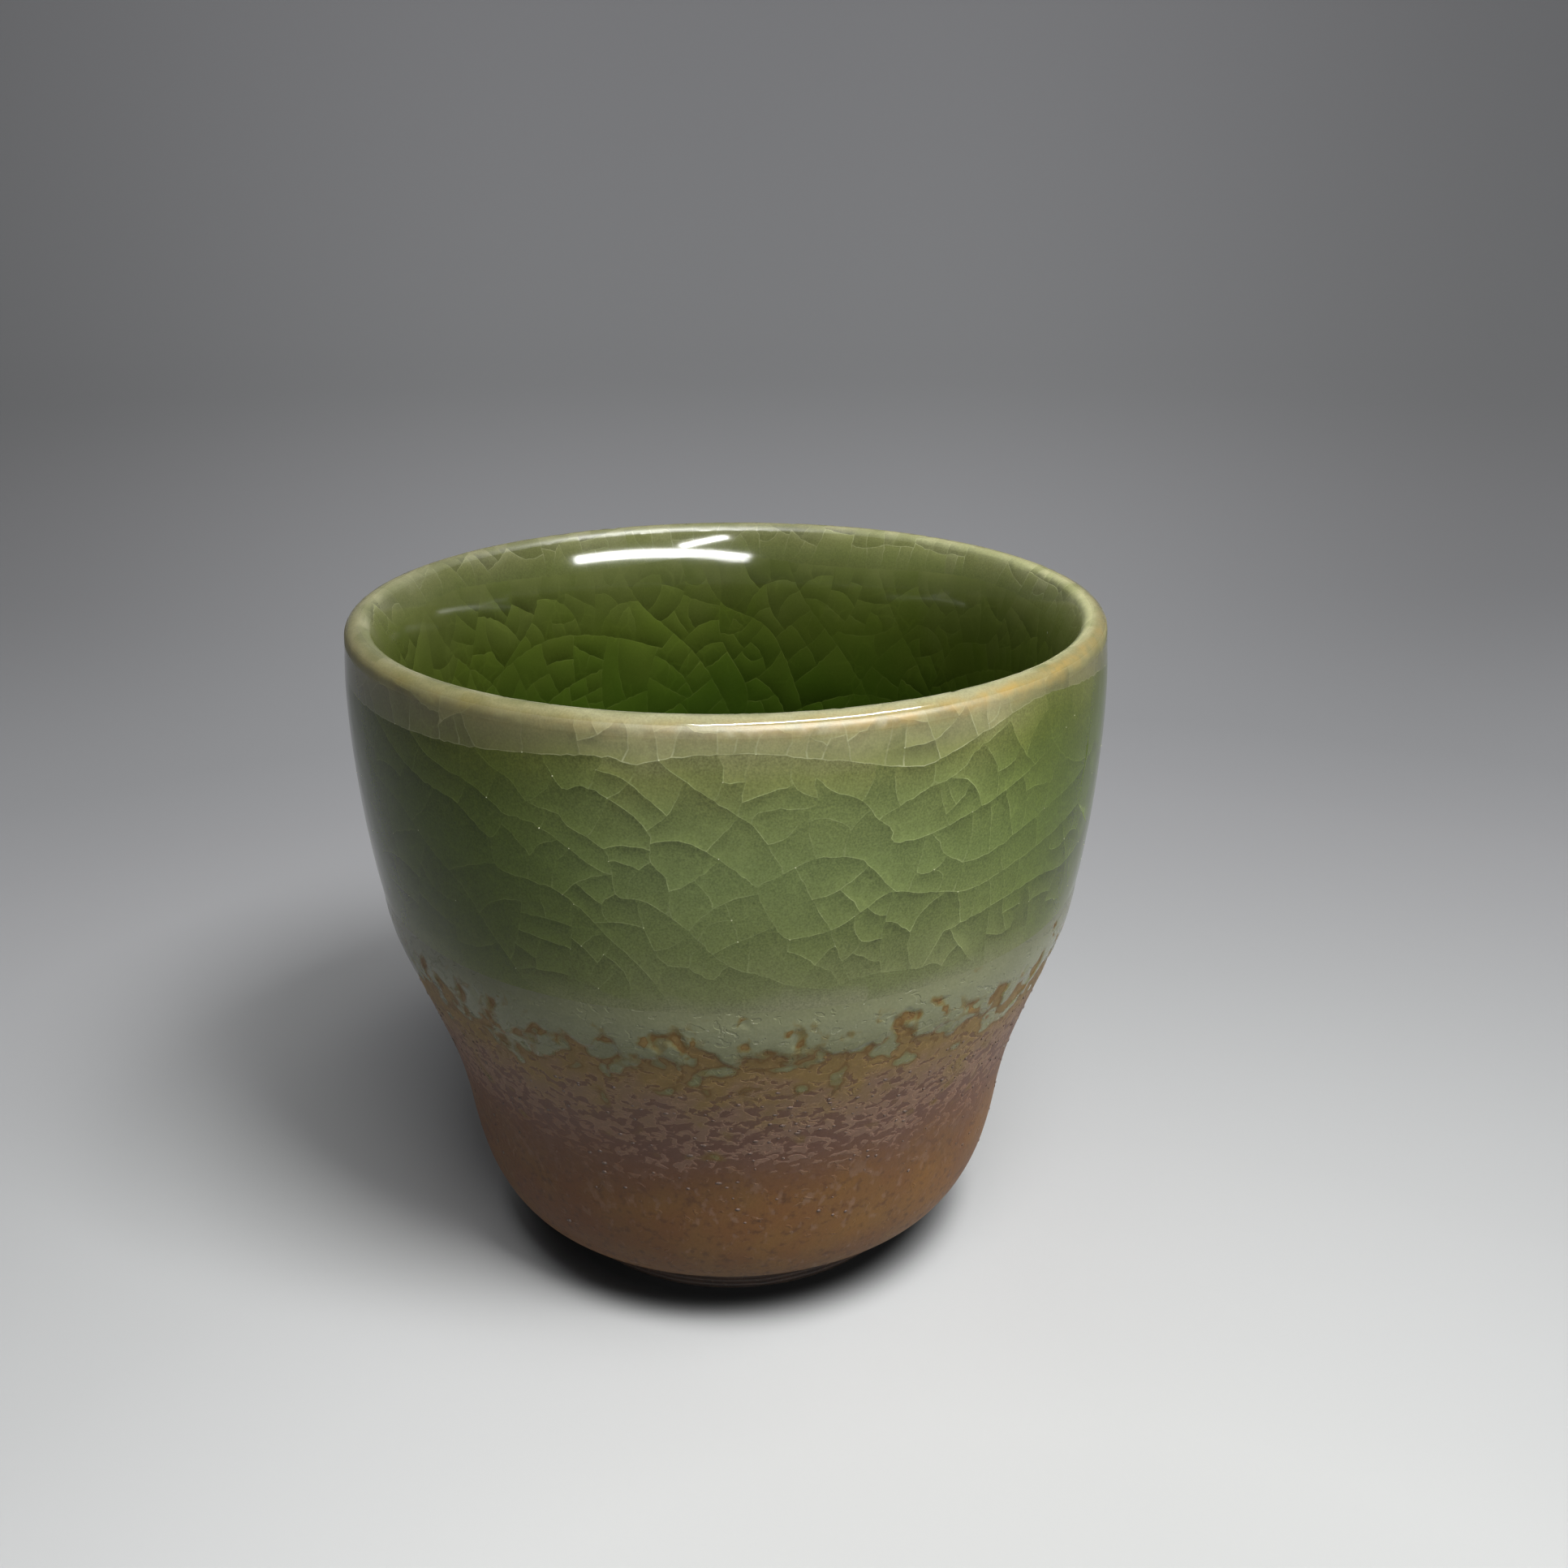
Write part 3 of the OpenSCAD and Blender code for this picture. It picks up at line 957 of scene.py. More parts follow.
def setStudio(look):
    scene = bpy.context.scene
    scene.view_settings.view_transform = "Standard"
    scene.world = bpy.data.worlds.new("studio")
    scene.world.use_nodes = True
    sky = scene.world.node_tree.nodes["Background"]
    sky.inputs["Strength"].default_value = look["worldStrength"]
    sky.inputs["Color"].default_value = look["worldColour"]
    for name, lamp in look["lamps"].items():
        lampAt(name, lamp)
    floor = bpy.data.objects.new("sweep", sweepMesh(sweepShape))
    scene.collection.objects.link(floor)
    floor.data.materials.append(sweepPaper(sweepLook))


setStudio(studio)
print("studio: camera, sweep and lamps")

# Painted light and shade: glaze and slip are painted palest on the lit side and deeper away from it:
# degrees round to the right, how squarely a place faces there, the share of light elsewhere,
# and how it wavers
paintedLightSide = {"turn": 10, "full": 0.98, "none": 0.72, "deep": 0.6, "waver": 0.12, "waverSize": 14}


def paintedSideLight(tree, deep=None):
    # Share of painted light at a place: 1 on the lit side, down to the deep share away from it
    look = paintedLightSide
    turn = math.radians(look["turn"])
    flat = vectorCalc(tree, "MULTIPLY", objectPlace(tree), (1, 1, 0))
    way = vectorCalc(tree, "NORMALIZE", flat)
    facing = vectorCalc(tree, "DOT_PRODUCT", way, (math.sin(turn), -math.cos(turn), 0), "Value")
    facing = changed(tree, facing, swing(tree, look["waverSize"], 1.0), look["waver"])
    return ranged(tree, facing, look["none"], look["full"], look["deep"] if deep is None else deep, 1.0)


outerLook = {
    # Colours by millimetres from the top of the lip
    "stops": [(-24, (140, 142, 108)), (-22, (121, 128, 82)), (-18, (112, 123, 71)), (-12, (115, 129, 75)),
              (-7, (114, 125, 72)), (-4.5, (122, 128, 74)), (-2.5, (142, 142, 96)), (-1.5, (160, 157, 112))],
    "waver": 1.3, "plateShift": 1.2,
    # How far each of these makes the glaze paler and deeper. Fine and broad are the painted light
    # and shade of the plates
    "fine": 0.28, "broad": 0.14, "plate": 0.11, "grain": 0.13, "sand": 1.0,
    "line": (160, 170, 116), "lineWidth": 0.09, "lineStrength": 0.6, "lit": (-0.25, 0.06),
    # The plates come up between two distances, and a share of them is left inside the lip. None
    # is at its very top, and few where its glaze meets the well's: place, near, far, least share
    "fade": (-23.4, -20.5), "inner": 1.0,
    "smoothTop": (-0.25, 0.45, 1.3), "smoothRing": (4.0, 0.3, 2.4, 0.3),
    "roughness": 0.1, "shine": 0.2, "wave": 0.04,
    # Painted light inside, to the left, in the middle, to the right and at the back
    "sides": (1.0, 1.0, 1.0), "back": 1.0,
    "leftFrom": (-0.028, -0.006), "rightFrom": (0.004, 0.028), "backFrom": (-0.006, 0.022),
    "overLip": (-0.6, 1.0),    # outside turns to inside between these two distances
    # Away from the painted light: share of the plates' tones, and a painted shade tint
    "calm": 0.8, "shade": (0.93, 1.04, 0.52),
    # A finer net deep in the glaze: its cells, tone, line, bend, and where it is seen
    "deepCell": 2.1, "deepTone": 0.12, "deepLine": 0.09, "deepBend": (3, 1.4), "deepSeen": (0.46, 0.62),
}
lipLook = dict(outerLook, **{
    "stops": [(-5.5, (122, 130, 75)), (-4, (128, 132, 79)), (-2.8, (142, 142, 96)), (-1.8, (157, 154, 109)),
              (-0.4, (172, 170, 134)), (0.6, (140, 142, 102)), (1.8, (120, 124, 77)), (3.5, (107, 115, 62)),
              (5, (102, 110, 54))],
    "plateShift": 0.9,
    "fine": 0.29, "broad": 0.2, "plate": 0.15, "sand": 0.55,
    "line": (190, 192, 150), "lit": (-0.5, 0.2),
    "fade": (-100, -99), "inner": 0.6,
    "shine": 0.5, "wave": 0.004,
    "stain": (190, 158, 88), "dull": 0.42,
    # Painted light and shade: share away from the lit side, light inside to the left, middle, right and
    # back, and a painted shade tint
    "deep": 0.62, "sides": (0.84, 1.15, 2.4), "back": 0.72,
    "shade": (1.02, 1.0, 0.82),
})
wellLook = dict(outerLook, **{
    "stops": [(3, (112, 119, 66)), (6, (95, 105, 49)), (11, (83, 97, 34)), (18, (62, 82, 21)),
              (26, (38, 62, 9)), (34, (25, 50, 5)), (60, (24, 49, 5))],
    "waver": 3, "plateShift": 1.6,
    "fine": 0.17, "broad": 0.32, "plate": 0.12, "grain": 0.07, "sand": 0.25,
    "line": (118, 130, 64), "lineWidth": 0.14, "lineStrength": 0.25,
    "fade": (-100, -99),
    "shine": 0.25, "wave": 0.02,
    # Painted light and shade: share away from the lit side, and light inside to the left, middle, right and
    # back
    "deep": 1.0, "sides": (0.71, 0.93, 2.15), "back": 0.8,
})


def awayFrom(tree, way, place, near, far, least=0.0):
    # Comes up to 1 on both sides of a place
    off = calc(tree, "ABSOLUTE", calc(tree, "SUBTRACT", way, place))
    return ranged(tree, off, near, far, least, 1.0)


def fadeOfPlates(tree, look, way, stained):
    # How much of the plates and cracks is seen
    fade = ranged(tree, way, *look["fade"])
    if stained:
        fade = times(tree, fade, awayFrom(tree, way, *look["smoothTop"]))
    return times(tree, fade, awayFrom(tree, way, *look["smoothRing"]),
                 ranged(tree, way, 0.5, 2.0, 1.0, look["inner"]))


def deepNet(tree, look):
    where = objectPlace(tree)
    length, amount = look["deepBend"]
    bend = addNode(tree, "ShaderNodeTexNoise", {"Vector": where, "Scale": 1 / (length * mm), "Detail": 1.0})
    bent = {0: bend.outputs["Color"], 1: (amount * mm,) * 3, 2: where}
    warped = addNode(tree, "ShaderNodeVectorMath", bent, operation="MULTIPLY_ADD")
    cells = addNode(tree, "ShaderNodeTexVoronoi", {"Vector": warped, "Scale": 1 / (look["deepCell"] * mm)},
                    feature="DISTANCE_TO_EDGE")
    return ranged(tree, cells.outputs["Distance"], 0.0, look["deepLine"], look["deepTone"], 0.0)


def plateTone(tree, look, way, plate, turned, fade):
    # The painted light and shade of the plates, and the tones of the net below them
    # and of the grain in the glaze
    tone = times(tree, readValue(tree, "fine"), look["fine"])
    tone = changed(tree, tone, readValue(tree, "broad"), look["broad"])
    tone = times(tree, tone, ranged(tree, turned, 0.0, 1.0, look["calm"], 1.0))
    tone = changed(tree, tone, plate, look["plate"])
    tone = changed(tree, 1.0, tone, fade)
    tone = changed(tree, tone, swing(tree, 0.28, 3.0), look["grain"] * 2)
    tone = changed(tree, tone, swing(tree, 2.2, 3.0, seat=(0.3, 0, 0)), look["grain"] * 1.6)
    # The deep net is seen here and there
    shown = ranged(tree, grain(tree, 4.0, 2.0, seat=(0.4, 0.4, 0)), *look["deepSeen"])
    tone = changed(tree, tone, deepNet(tree, look), times(tree, shown, fade))
    return changed(tree, tone, swing(tree, 0.15, 2.0), look["sand"])


def lightOver(tree, look, way, stained):
    # Painted light and shade: outside it is palest at the front, and inside at the right
    pale = paintedSideLight(tree, look.get("deep"))
    if not stained:
        pale = ranged(tree, way, -23.6, -21.0, paintedSideLight(tree, 0.72), pale)
    axes = axesOf(tree, objectPlace(tree))
    left, middle, right = look["sides"]
    inside = times(tree, ranged(tree, axes["X"], *look["leftFrom"], left / middle, 1.0),
                   ranged(tree, axes["X"], *look["rightFrom"], middle, right),
                   ranged(tree, axes["Y"], *look["backFrom"], 1.0, look["back"]))
    return ranged(tree, way, *look["overLip"], pale, inside)


def crackLine(tree, look, fade):
    # The pale line along a crack, broken here and there, and fainter where it faces down
    # and the plates' painted light is low
    line = ranged(tree, readValue(tree, "apart"), 0.02, look["lineWidth"], look["lineStrength"], 0.0)
    broken = ranged(tree, grain(tree, 1.6, 2.0, seat=(0, 0.2, 0)), 0.36, 0.62, 0.35, 1.0)
    low, least = look["lit"]
    lit = ranged(tree, readValue(tree, "fine"), low, 0.6, least, 1.0)
    return times(tree, line, broken, times(tree, lit, fade))


def dullLip(tree, look, way):
    # Thin glaze on both sides of the lip's top is dull
    inner = times(tree, ranged(tree, way, 0.0, 0.4), ranged(tree, way, 1.0, 1.5, 1.0, 0.0))
    outer = times(tree, ranged(tree, way, -2.3, -1.7), ranged(tree, way, -1.14, -1.02, 1.0, 0.0))
    return ranged(tree, calc(tree, "MAXIMUM", inner, outer), 0.0, 1.0, look["roughness"], look["dull"])


def crackledGlaze(name, look, stained=False):
    material, tree, skin = startPaint(name, look)
    way = readValue(tree, "way")
    plate = calc(tree, "SUBTRACT", readValue(tree, "plate"), 0.5)
    shifted = changed(tree, way, swing(tree, 5.0), look["waver"] * 2)
    shifted = changed(tree, shifted, plate, look["plateShift"])
    colour = rampOver(tree, shifted, look["stops"])
    fade = fadeOfPlates(tree, look, way, stained)
    # Painted light and shade round the cup, and a painted shade tint away from the lit side
    turned = ranged(tree, way, *look["overLip"], paintedSideLight(tree, 0.0), 1.0)
    tone = times(tree, plateTone(tree, look, way, plate, turned, fade), lightOver(tree, look, way, stained))
    colour = over(tree, colour, look["line"], crackLine(tree, look, fade))
    colour = tinted(tree, brighten(tree, colour, tone), look["shade"], turned)
    if stained:
        patchy = ranged(tree, grain(tree, 0.9, 4.0, squash=(0.6, 0.6, 1)), 0.34, 0.66, 0.35, 0.95)
        colour = over(tree, colour, look["stain"], times(tree, readValue(tree, "stain"), patchy))
        tree.links.new(dullLip(tree, look, way), skin.inputs["Roughness"])
    tree.links.new(colour, skin.inputs["Base Color"])
    wave = bumpFrom(tree, grain(tree, 3.4, 1.0), look["wave"])
    tree.links.new(bumpFrom(tree, grain(tree, 0.5, 2.0), look["wave"] * 0.08, wave), skin.inputs["Normal"])
    return material


def finishPiece(piece, material, slot, *nodes):
    if material:
        piece.data.materials.append(material)
    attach(piece, "root")
    if nodes:
        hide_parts(*nodes)


finishPiece(outerGlaze, crackledGlaze("outerCrackle", outerLook), "crackle_glaze", "outer_glaze")
finishPiece(lipGlaze, crackledGlaze("lipCrackle", lipLook, stained=True), "lip_glaze", "lip_glaze")
finishPiece(wellGlaze, crackledGlaze("wellCrackle", wellLook), "well_glaze", "inner_glaze")

# The coats below the crackle. The pale glaze ends in a ragged edge with holes and islands
edgeField = {
    "height": 32.6,            # where the pale glaze ends, on the whole
    "soft": 1.7,
    "patches": ((2.3, 1.75), (1.15, 1.3), (8.0, 0.5)),      # size, strength
    "squash": (1.0, 1.0, 0.95),
    "relief": 0.1,
    "sunk": 0.3,               # share of the relief by which the bare ground lies lower
    "swell": 0.12,
}


def coverAt(points):
    # How far inside the pale glaze a point lies: above nothing is glaze, below is slip
    field = edgeField
    values = (points[:, 2] - field["height"]) / field["soft"]
    placed = (points * np.array(field["squash"])).tolist()
    for size, strength in field["patches"]:
        values = values + strength * np.array([noise.noise(Vector(p) / size) for p in placed]) * 1.4
    return values


def ringCoat(name, low, high, columns, rows, depth):
    # A closed ring of coat between two heights, with the relief of the glaze on it
    ways = np.linspace(low, high, rows + 1)
    angles = np.arange(columns) * 2 * math.pi / columns
    wayGrid, angleGrid = (grid.ravel() for grid in np.meshgrid(ways, angles, indexing="ij"))
    points, normals = placeOnCup(angleGrid, wayGrid)
    cover = coverAt(points)
    rise = np.clip(cover + 0.5, 0, 1)
    rise = rise * rise * (3 - 2 * rise) * edgeField["relief"]
    share = np.clip((wayGrid - zones["runTop"]) / (zones["rollTop"] - zones["runTop"]), 0, 1)
    shut = np.clip((1 - share) * 5, 0, 1)
    relief = rise * shut + edgeField["swell"] * np.sin(math.pi * share) ** 2
    base = points - normals * depth
    points = points + normals * (relief - edgeField["relief"] * edgeField["sunk"] * shut)[:, None]
    grid = points.reshape(rows + 1, columns, 3)
    around = np.roll(grid, -1, 1) - np.roll(grid, 1, 1)
    turned = np.cross(around, np.gradient(grid, axis=0)).reshape(-1, 3)
    turned = turned / np.linalg.norm(turned, axis=1)[:, None]
    count = (rows + 1) * columns
    k = np.arange(columns)
    nextK = (k + 1) % columns
    faces = []
    for j in range(rows):
        a, b = j * columns, (j + 1) * columns
        faces.append(np.stack([a + k, a + nextK, b + nextK, b + k], 1))
        faces.append(np.stack([a + k, b + k, b + nextK, a + nextK], 1) + count)
    last = rows * columns
    faces.append(np.stack([nextK, k, k + count, nextK + count], 1))
    faces.append(np.stack([last + k, last + nextK, last + nextK + count, last + k + count], 1))
    piece = meshFrom(name, np.concatenate([points, base]), np.concatenate(faces).tolist(),
                     np.concatenate([turned, -normals]),
                     pointValues={"cover": np.tile(cover, 2), "way": np.tile(wayGrid, 2)})
    print("%s: %d faces" % (name, len(piece.data.polygons)))
    return piece


slipLook = {
    "roughness": 0.5, "shine": 0.18,
    "brown": (116, 78, 46), "olive": (122, 89, 50), "orange": (136, 98, 46), "dark": (84, 56, 36),
    "fleck": (140, 112, 92), "fleckLimit": (8.0, 22.0, 0.63, 0.48),
    "waver": 7.0, "dust": 0.34,
    # By height: the painted shade away from the lit side; and the painted shade tint there, low down
    "deep": [(17, 0.9), (25, 1.05), (34, 1.05), (37, 0.72)], "shade": (1.0, 0.87, 0.74),
}
runLook = {
    # By height in millimetres: how much of the dark ground shows between the milky lines, and both colours
    "limit": [(15, 0.33), (18.5, 0.39), (21, 0.45), (24, 0.49), (27, 0.53), (30, 0.57), (33, 0.61)],
    "milky": [(16, (130, 99, 76)), (21, (144, 113, 95)), (24.5, (150, 120, 98)), (27.5, (152, 124, 90)),
              (30, (154, 127, 77)), (33, (148, 123, 72))],
    "ground": [(14, (103, 69, 44)), (19, (101, 67, 49)), (22.5, (99, 67, 55)), (27, (104, 74, 60)),
               (31, (110, 81, 54))],
    "size": 0.85, "shown": (13.8, 22.0), "blotch": 12.0,
}
edgeLook = {
    "pale": [(29, (140, 139, 92)), (32, (141, 142, 104)), (34.5, (143, 146, 114)), (37, (139, 142, 106))],
    # From the slip up to the pale glaze: colour, cover between which it comes up, share
    "borders": [((134, 110, 66), -2.0, -0.7, 0.55), ((116, 86, 42), -0.8, -0.3, 0.8),
                ((134, 124, 78), -0.35, 0.15, 0.9)],
    "roughness": 0.14, "ragged": 2.3, "cloud": 0.22,
    # By height: how high the noise must be for a drop below the edge, and for a hole above it
    "drops": [(27, 0.80), (29, 0.66), (31, 0.58), (33, 0.55)],
    "holes": [(31, 0.60), (33, 0.62), (35, 0.67), (36.5, 0.80)],
    "dropRise": 11, "holeFall": -20,
}


def slipColour(tree, look, lifted):
    # Brown, with an orange flush to one side, darker clouds and pale flecks
    patch = ranged(tree, grain(tree, 4.0, 4.0, seat=(0.1, 0, 0)), 0.3, 0.7)
    colour = over(tree, sRgb(*look["brown"]), look["olive"], patch)
    side = ranged(tree, axesOf(tree, objectPlace(tree))["X"], -0.012, 0.026)
    flush = times(tree, ranged(tree, grain(tree, 5.0, 3.0, seat=(0, 0.4, 0)), 0.35, 0.65, 0.1, 0.8), side)
    colour = over(tree, colour, look["orange"], flush)
    colour = over(tree, colour, look["dark"], ranged(tree, grain(tree, 0.7, 4.0), 0.5, 0.72, 0.0, 0.7))
    limit = ranged(tree, lifted, *look["fleckLimit"], smooth=False)
    fleck = calc(tree, "SUBTRACT", grain(tree, 0.8, 2.5, squash=(1, 1, 0.62), seat=(0.2, 0.1, 0)), limit)
    return over(tree, colour, look["fleck"], ranged(tree, fleck, -0.02, 0.12, 0.0, 0.55))


def runColour(tree, look, lifted, bare):
    # Milky glaze that closes up towards the top, palest where it is heaped up beside dark ground
    shifted = changed(tree, lifted, swing(tree, 2.6, 2.0, seat=(0.8, 0, 0)), look["blotch"])
    milky = rampOver(tree, shifted, look["milky"])
    milky = brighten(tree, milky, ranged(tree, bare, -0.075, -0.02, 0.9, 1.18))
    ground = rampOver(tree, lifted, look["ground"])
    return blend(tree, ranged(tree, bare, -0.03, 0.055, 0.0, 0.85), milky, ground)


def coverOf(tree, look, height):
    # The pale glaze, with round drops below its edge and bare holes above it
    cover = changed(tree, readValue(tree, "cover"), swing(tree, 0.75, 3.0), look["ragged"])
    drops = grain(tree, 1.8, 0.6, seat=(0, 0.3, 0))
    drops = calc(tree, "SUBTRACT", drops, floatRamp(tree, height, look["drops"]))
    holes = grain(tree, 1.5, 1.5, seat=(0.7, 0, 0))
    holes = calc(tree, "SUBTRACT", holes, floatRamp(tree, height, look["holes"]))
    cover = calc(tree, "MAXIMUM", cover, times(tree, drops, look["dropRise"]))
    return changed(tree, cover, calc(tree, "MAXIMUM", holes, 0.0), look["holeFall"])


def edgeColour(tree, look, colour, height, cover):
    # Ochre where the pale glaze thins out at its edge
    for border, low, high, share in look["borders"]:
        colour = over(tree, colour, border, ranged(tree, cover, low, high, 0.0, share))
    cloud = changed(tree, 1.0, swing(tree, 2.0, 4.0, seat=(0, 0, 0.6)), look["cloud"])
    pale = brighten(tree, rampOver(tree, height, look["pale"]), cloud)
    return blend(tree, ranged(tree, cover, 0.0, 0.95), colour, pale)


def slipWithPaintedShade(name, glazed):
    material, tree, skin = startPaint(name, slipLook)
    height = times(tree, axesOf(tree, objectPlace(tree))["Z"], 1 / mm)
    lifted = changed(tree, height, swing(tree, 6.0, 3.0), slipLook["waver"])
    field = grain(tree, runLook["size"], 3.0, squash=(0.85, 0.85, 1.2), seat=(0.5, 0, 0), distortion=0.5)
    bare = calc(tree, "SUBTRACT", field, floatRamp(tree, lifted, runLook["limit"]))
    colour = blend(tree, ranged(tree, lifted, *runLook["shown"], 0.0, 0.95),
                   slipColour(tree, slipLook, lifted), runColour(tree, runLook, lifted, bare))
    if glazed:
        cover = coverOf(tree, edgeLook, height)
        colour = edgeColour(tree, edgeLook, colour, height, cover)
        tree.links.new(ranged(tree, cover, -0.1, 0.3, slipLook["roughness"], edgeLook["roughness"]),
                       skin.inputs["Roughness"])
    dusty = changed(tree, 1.0, swing(tree, 0.22, 2.0), slipLook["dust"])
    # Painted light and shade: palest on the lit side, with a painted shade tint away from it low down
    pale = paintedSideLight(tree, floatRamp(tree, height, slipLook["deep"]))
    colour = brighten(tree, colour, times(tree, dusty, pale))
    lit = calc(tree, "MAXIMUM", paintedSideLight(tree, 0.0), ranged(tree, height, 18.0, 26.0))
    tree.links.new(tinted(tree, colour, slipLook["shade"], lit), skin.inputs["Base Color"])
    rough = bumpFrom(tree, grain(tree, 0.35, 3.0), 0.02)
    heaped = ranged(tree, bare, -0.03, 0.03, 1.0, 0.0)
    tree.links.new(bumpFrom(tree, heaped, 0.035, rough), skin.inputs["Normal"])
    return material


coats = {
    # Points round and up, and millimetres deep
    "ironSlip": (480, 40, 0.46), "runBand": (760, 38, 0.26), "glazeEdge": (860, 32, 0.26),
}
slipCoat = slipWithPaintedShade("ironSlip", False)
runCoat = slipWithPaintedShade("runningGlaze", True)
ironSlip = ringCoat("ironSlip", zones["edge"], zones["slipTop"], *coats["ironSlip"])
runBand = ringCoat("runBand", zones["slipTop"], zones["runTop"], *coats["runBand"])
glazeEdge = ringCoat("glazeEdge", zones["runTop"], zones["rollTop"], *coats["glazeEdge"])
finishPiece(ironSlip, slipCoat, "iron_slip", "iron_slip")
finishPiece(runBand, runCoat, "mottled_glaze", "run_band")
finishPiece(glazeEdge, runCoat, "pale_glaze", "glaze_edge_roll")

# The clay's own brown, made darker so the foot reads as dark as the shade under the cup: partly painted
# shade
clayLook = {
    "brown": (90, 58, 34), "dark": (66, 42, 25), "sand": (114, 86, 60), "ash": (106, 84, 64),
    "roughness": 0.78, "shine": 0.2, "rubbedRoughness": 0.55,
    "ringSpacing": 0.55, "ringTone": 0.05,
}


def firedClay(name, handled):
    # Trimmed stoneware: fine rings from the tool, sand, and on the foot a rubbed edge
    look = clayLook
    material, tree, skin = startPaint(name, look)
    where = objectPlace(tree)
    height = axesOf(tree, where)["Z"]
    radius = vectorCalc(tree, "LENGTH", vectorCalc(tree, "MULTIPLY", where, (1, 1, 0)), output="Value")
    colour = over(tree, sRgb(*look["brown"]), look["dark"], ranged(tree, grain(tree, 3.0, 5.0), 0.35, 0.68))
    colour = over(tree, colour, look["sand"], ranged(tree, grain(tree, 0.45, 3.0), 0.60, 0.72, 0.0, 0.5))
    reach = changed(tree, calc(tree, "ADD", radius, height), grain(tree, 5.0, 2.0), 0.3 * mm)
    rings = calc(tree, "SINE", times(tree, reach, 2 * math.pi / (look["ringSpacing"] * mm)))
    colour = brighten(tree, colour, changed(tree, 1.0, rings, look["ringTone"]))
    if handled:
        rubbed = times(tree, ranged(tree, height, 0.2 * mm, 0.7 * mm, 1.0, 0.0),
                       ranged(tree, grain(tree, 1.5, 3.0), 0.3, 0.6, 0.3, 1.0))
        colour = over(tree, colour, look["ash"], rubbed)
        tree.links.new(ranged(tree, rubbed, 0.0, 1.0, look["roughness"], look["rubbedRoughness"]),
                       skin.inputs["Roughness"])
    tree.links.new(colour, skin.inputs["Base Color"])
    scored = bumpFrom(tree, rings, 0.03)
    tree.links.new(bumpFrom(tree, grain(tree, 0.3, 4.0), 0.05, scored), skin.inputs["Normal"])
    return material


print("clay: foot and underside")
bareClay = firedClay("firedClay", False)
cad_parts["stoneware_body"].data.materials.clear()
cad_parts["stoneware_body"].data.materials.append(bareClay)


def startTree(name, inputs, takesMesh):
    # A geometry node tree with named inputs; returns it with its input and output nodes
    tree = bpy.data.node_groups.new(name, "GeometryNodeTree")
    if takesMesh:
        tree.interface.new_socket("Mesh", in_out="INPUT", socket_type="NodeSocketGeometry")
    for label, value in inputs.items():
        kind = "NodeSocketInt" if isinstance(value, int) else "NodeSocketFloat"
        tree.interface.new_socket(label, in_out="INPUT", socket_type=kind).default_value = value
    tree.interface.new_socket("Mesh", in_out="OUTPUT", socket_type="NodeSocketGeometry")
    return tree, tree.nodes.new("NodeGroupInput").outputs, tree.nodes.new("NodeGroupOutput")


def finishTree(tree, geometry, material, out):
    real = addNode(tree, "GeometryNodeRealizeInstances", {"Geometry": geometry})
    smooth = addNode(tree, "GeometryNodeSetShadeSmooth", {"Geometry": real})
    painted = addNode(tree, "GeometryNodeSetMaterial", {"Geometry": smooth, "Material": material})
    tree.links.new(painted.outputs[0], out.inputs[0])
    return tree


def growPiece(name, tree, inputs, base=None):
    # Runs a tree on a mesh and keeps the result as a plain one
    mesh = base or bpy.data.meshes.new(name)
    piece = bpy.data.objects.new(name, mesh)
    bpy.context.scene.collection.objects.link(piece)
    grower = piece.modifiers.new(name, "NODES")
    grower.node_group = tree
    for socket in tree.interface.items_tree:
        if socket.in_out == "INPUT" and socket.name in inputs:
            grower[socket.identifier] = inputs[socket.name]
    ready = piece.evaluated_get(bpy.context.evaluated_depsgraph_get())
    grown = bpy.data.meshes.new_from_object(ready)
    piece.modifiers.clear()
    piece.data = grown
    grown.name = name
    heights = [corner.co.z / mm for corner in grown.vertices]
    print("%s: %d faces, %.2f to %.2f mm high" % (name, len(grown.polygons), min(heights), max(heights)))
    return piece


footSize = {
    "Middle radius": 16.4 * mm, "Bottom width": 3.6 * mm, "Top width": 4.8 * mm, "Height": 4.85 * mm,
    "Rounding": 0.4 * mm, "Wobble": 0.05 * mm, "Grain size": 5.0 * mm, "Points round": 200,
}


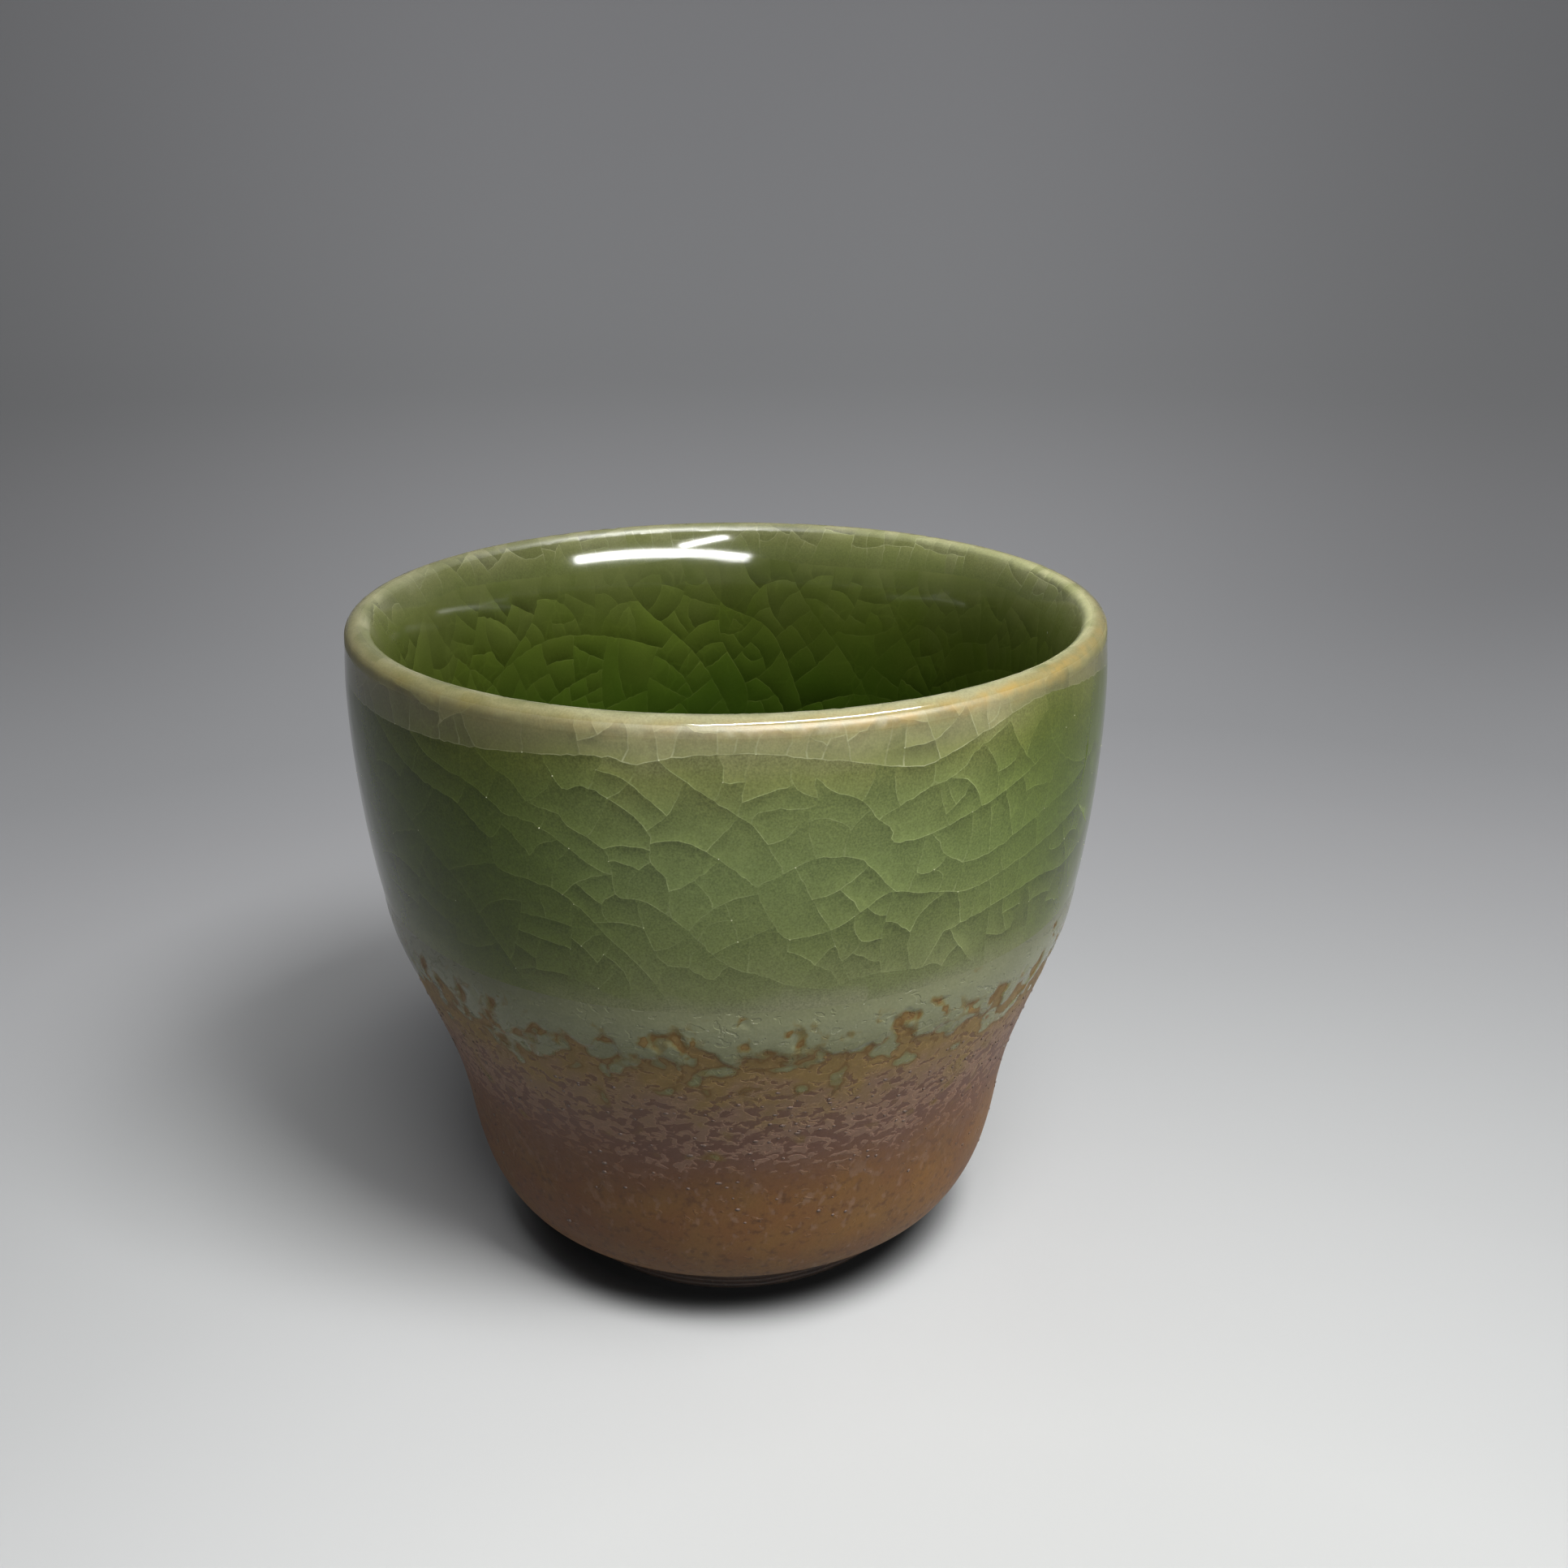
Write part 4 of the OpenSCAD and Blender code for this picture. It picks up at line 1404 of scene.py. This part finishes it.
def footTree(material):
    tree, given, out = startTree("footRing", footSize, False)
    section = addNode(tree, "GeometryNodeCurvePrimitiveQuadrilateral", mode="TRAPEZOID")
    # The profile is drawn upside down, because the circle sweeps it that way
    for label, name in (("Height",) * 2, ("Bottom Width", "Top width"), ("Top Width", "Bottom width")):
        tree.links.new(given[name], section.inputs[label])
    section.inputs["Offset"].default_value = 0
    rounded = addNode(tree, "GeometryNodeFilletCurve", {"Curve": section, "Radius": given["Rounding"],
                                                        "Count": 5, "Limit Radius": True}, mode="POLY")
    lift = addNode(tree, "ShaderNodeCombineXYZ", {"Y": times(tree, given["Height"], -0.5)})
    raised = addNode(tree, "GeometryNodeTransform", {"Geometry": rounded, "Translation": lift})
    dense = addNode(tree, "GeometryNodeResampleCurve", {"Curve": raised, "Count": 110})
    ring = addNode(tree, "GeometryNodeCurvePrimitiveCircle", {"Radius": given["Middle radius"],
                                                              "Resolution": given["Points round"]})
    swept = addNode(tree, "GeometryNodeCurveToMesh", {"Curve": ring, "Profile Curve": dense})
    # The trimming tool leaves the sides a little uneven, and the resting face flat
    scale = calc(tree, "DIVIDE", 1.0, given["Grain size"])
    waves = addNode(tree, "ShaderNodeTexNoise", {"Scale": scale, "Detail": 2.0})
    height = axesOf(tree, addNode(tree, "GeometryNodeInputPosition"))["Z"]
    amount = times(tree, calc(tree, "SUBTRACT", waves.outputs["Fac"], 0.6), given["Wobble"],
                   ranged(tree, height, 0.1 * mm, 0.8 * mm))
    push = brighten(tree, addNode(tree, "GeometryNodeInputNormal"), amount)
    moved = addNode(tree, "GeometryNodeSetPosition", {"Geometry": swept, "Offset": push})
    return finishTree(tree, moved, material, out)


footRing = growPiece("footRing", footTree(firedClay("footClay", True)), footSize)
finishPiece(footRing, None, "foot_clay", "foot_ring")

# Pale specks along the cracks that stand in for painted glints, and pale flecks spattered on the slip
specks = {"Smallest": 0.025 * mm, "Largest": 0.065 * mm, "Seed": 4}
speckLook = {"colour": (206, 208, 160), "share": 0.2, "roughness": 0.25}
flecks = {"Smallest": 0.06 * mm, "Largest": 0.2 * mm, "Seed": 9, "Density": 340000.0,
          "Low": 7.0 * mm, "High": 24.0 * mm}
fleckLook = {"colour": (102, 78, 62), "roughness": 0.8}
dropShape = {"longer": (0.7, 1.8), "speckHeight": 0.45, "fleckHeight": 0.16}     # shares of the width


def plainDrops(name, look):
    # Small solid drops: one colour, a little uneven from one to the next
    material, tree, skin = startPaint(name, look)
    patch = ranged(tree, grain(tree, 0.9, 2.0), 0.3, 0.7, 0.75, 1.15)
    tree.links.new(brighten(tree, sRgb(*look["colour"]), patch), skin.inputs["Base Color"])
    tree.links.new(bumpFrom(tree, grain(tree, 0.06, 2.0), 0.004), skin.inputs["Normal"])
    return material


def randomIn(tree, low, high, seed):
    picked = addNode(tree, "FunctionNodeRandomValue", {2: low, 3: high, "Seed": seed}, data_type="FLOAT")
    return picked.outputs[1]


def dropTree(name, inputs, material, spread):
    tree, given, out = startTree(name, inputs, True)
    if spread:
        # Thrown at random, thickest near the glaze
        height = axesOf(tree, addNode(tree, "GeometryNodeInputPosition"))["Z"]
        share = ranged(tree, height, given["Low"], given["High"], smooth=False)
        density = times(tree, calc(tree, "POWER", share, 2.0), given["Density"])
        inputs = {"Mesh": given["Mesh"], "Density": density, "Seed": given["Seed"]}
        seats = addNode(tree, "GeometryNodeDistributePointsOnFaces", inputs)
        points = seats.outputs["Points"]
        outward = seats.outputs["Normal"]
        flatness = dropShape["fleckHeight"]
    else:
        points = given["Mesh"]
        wanted = {"Name": "outward"}
        outward = addNode(tree, "GeometryNodeInputNamedAttribute", wanted, data_type="FLOAT_VECTOR")
        flatness = dropShape["speckHeight"]
    upright = addNode(tree, "FunctionNodeAlignRotationToVector", {"Vector": outward}, axis="Z")
    size = randomIn(tree, given["Smallest"], given["Largest"], given["Seed"])
    stretch = randomIn(tree, *dropShape["longer"], calc(tree, "ADD", given["Seed"], 1))
    shape = addNode(tree, "ShaderNodeCombineXYZ", {"X": times(tree, size, stretch), "Y": size,
                                                   "Z": times(tree, size, flatness)})
    drop = addNode(tree, "GeometryNodeMeshIcoSphere", {"Radius": 1.0, "Subdivisions": 1})
    placed = addNode(tree, "GeometryNodeInstanceOnPoints", {"Points": points, "Instance": drop,
                                                            "Rotation": upright, "Scale": shape})
    return finishTree(tree, placed, material, out)


def speckSeats():
    # Where cracks meet, and here and there along them, on the outside only
    draw = np.random.default_rng(specks["Seed"])
    chosen = [k for k in sorted(joints) if zones["rollTop"] + 1.5 < netWays[k] < -2.5
              and draw.random() < speckLook["share"]]
    mesh = bpy.data.meshes.new("speckSeats")
    mesh.from_pydata((netPoints[chosen] * mm).tolist(), [], [])
    outward = mesh.attributes.new("outward", "FLOAT_VECTOR", "POINT")
    outward.data.foreach_set("vector", netNormals[chosen].ravel().astype(np.float32))
    return mesh


def fleckGround():
    # The slip's own surface, without its back
    angles = np.linspace(0, 2 * math.pi, 181)
    ways = np.linspace(zones["edge"] + 1, zones["runTop"] - 1, 30)
    wayGrid, angleGrid = np.meshgrid(ways, angles, indexing="ij")
    points = placeOnCup(angleGrid.ravel(), wayGrid.ravel())[0]
    count = len(angles)
    faces = [(j * count + k, j * count + k + 1, (j + 1) * count + k + 1, (j + 1) * count + k)
             for j in range(len(ways) - 1) for k in range(count - 1)]
    mesh = bpy.data.meshes.new("fleckGround")
    mesh.from_pydata((points * mm).tolist(), [], faces)
    return mesh


# The painted glints along the cracks
speckTree = dropTree("paintedGlintSpecks", specks, plainDrops("paintedGlintDrops", speckLook), False)
paintedGlintSpecks = growPiece("paintedGlintSpecks", speckTree, specks, speckSeats())
finishPiece(paintedGlintSpecks, None, "crackle_glaze")

fleckTree = dropTree("slipFlecks", flecks, plainDrops("fleckGlaze", fleckLook), True)
slipFlecks = growPiece("slipFlecks", fleckTree, flecks, fleckGround())
finishPiece(slipFlecks, None, "mottled_glaze")
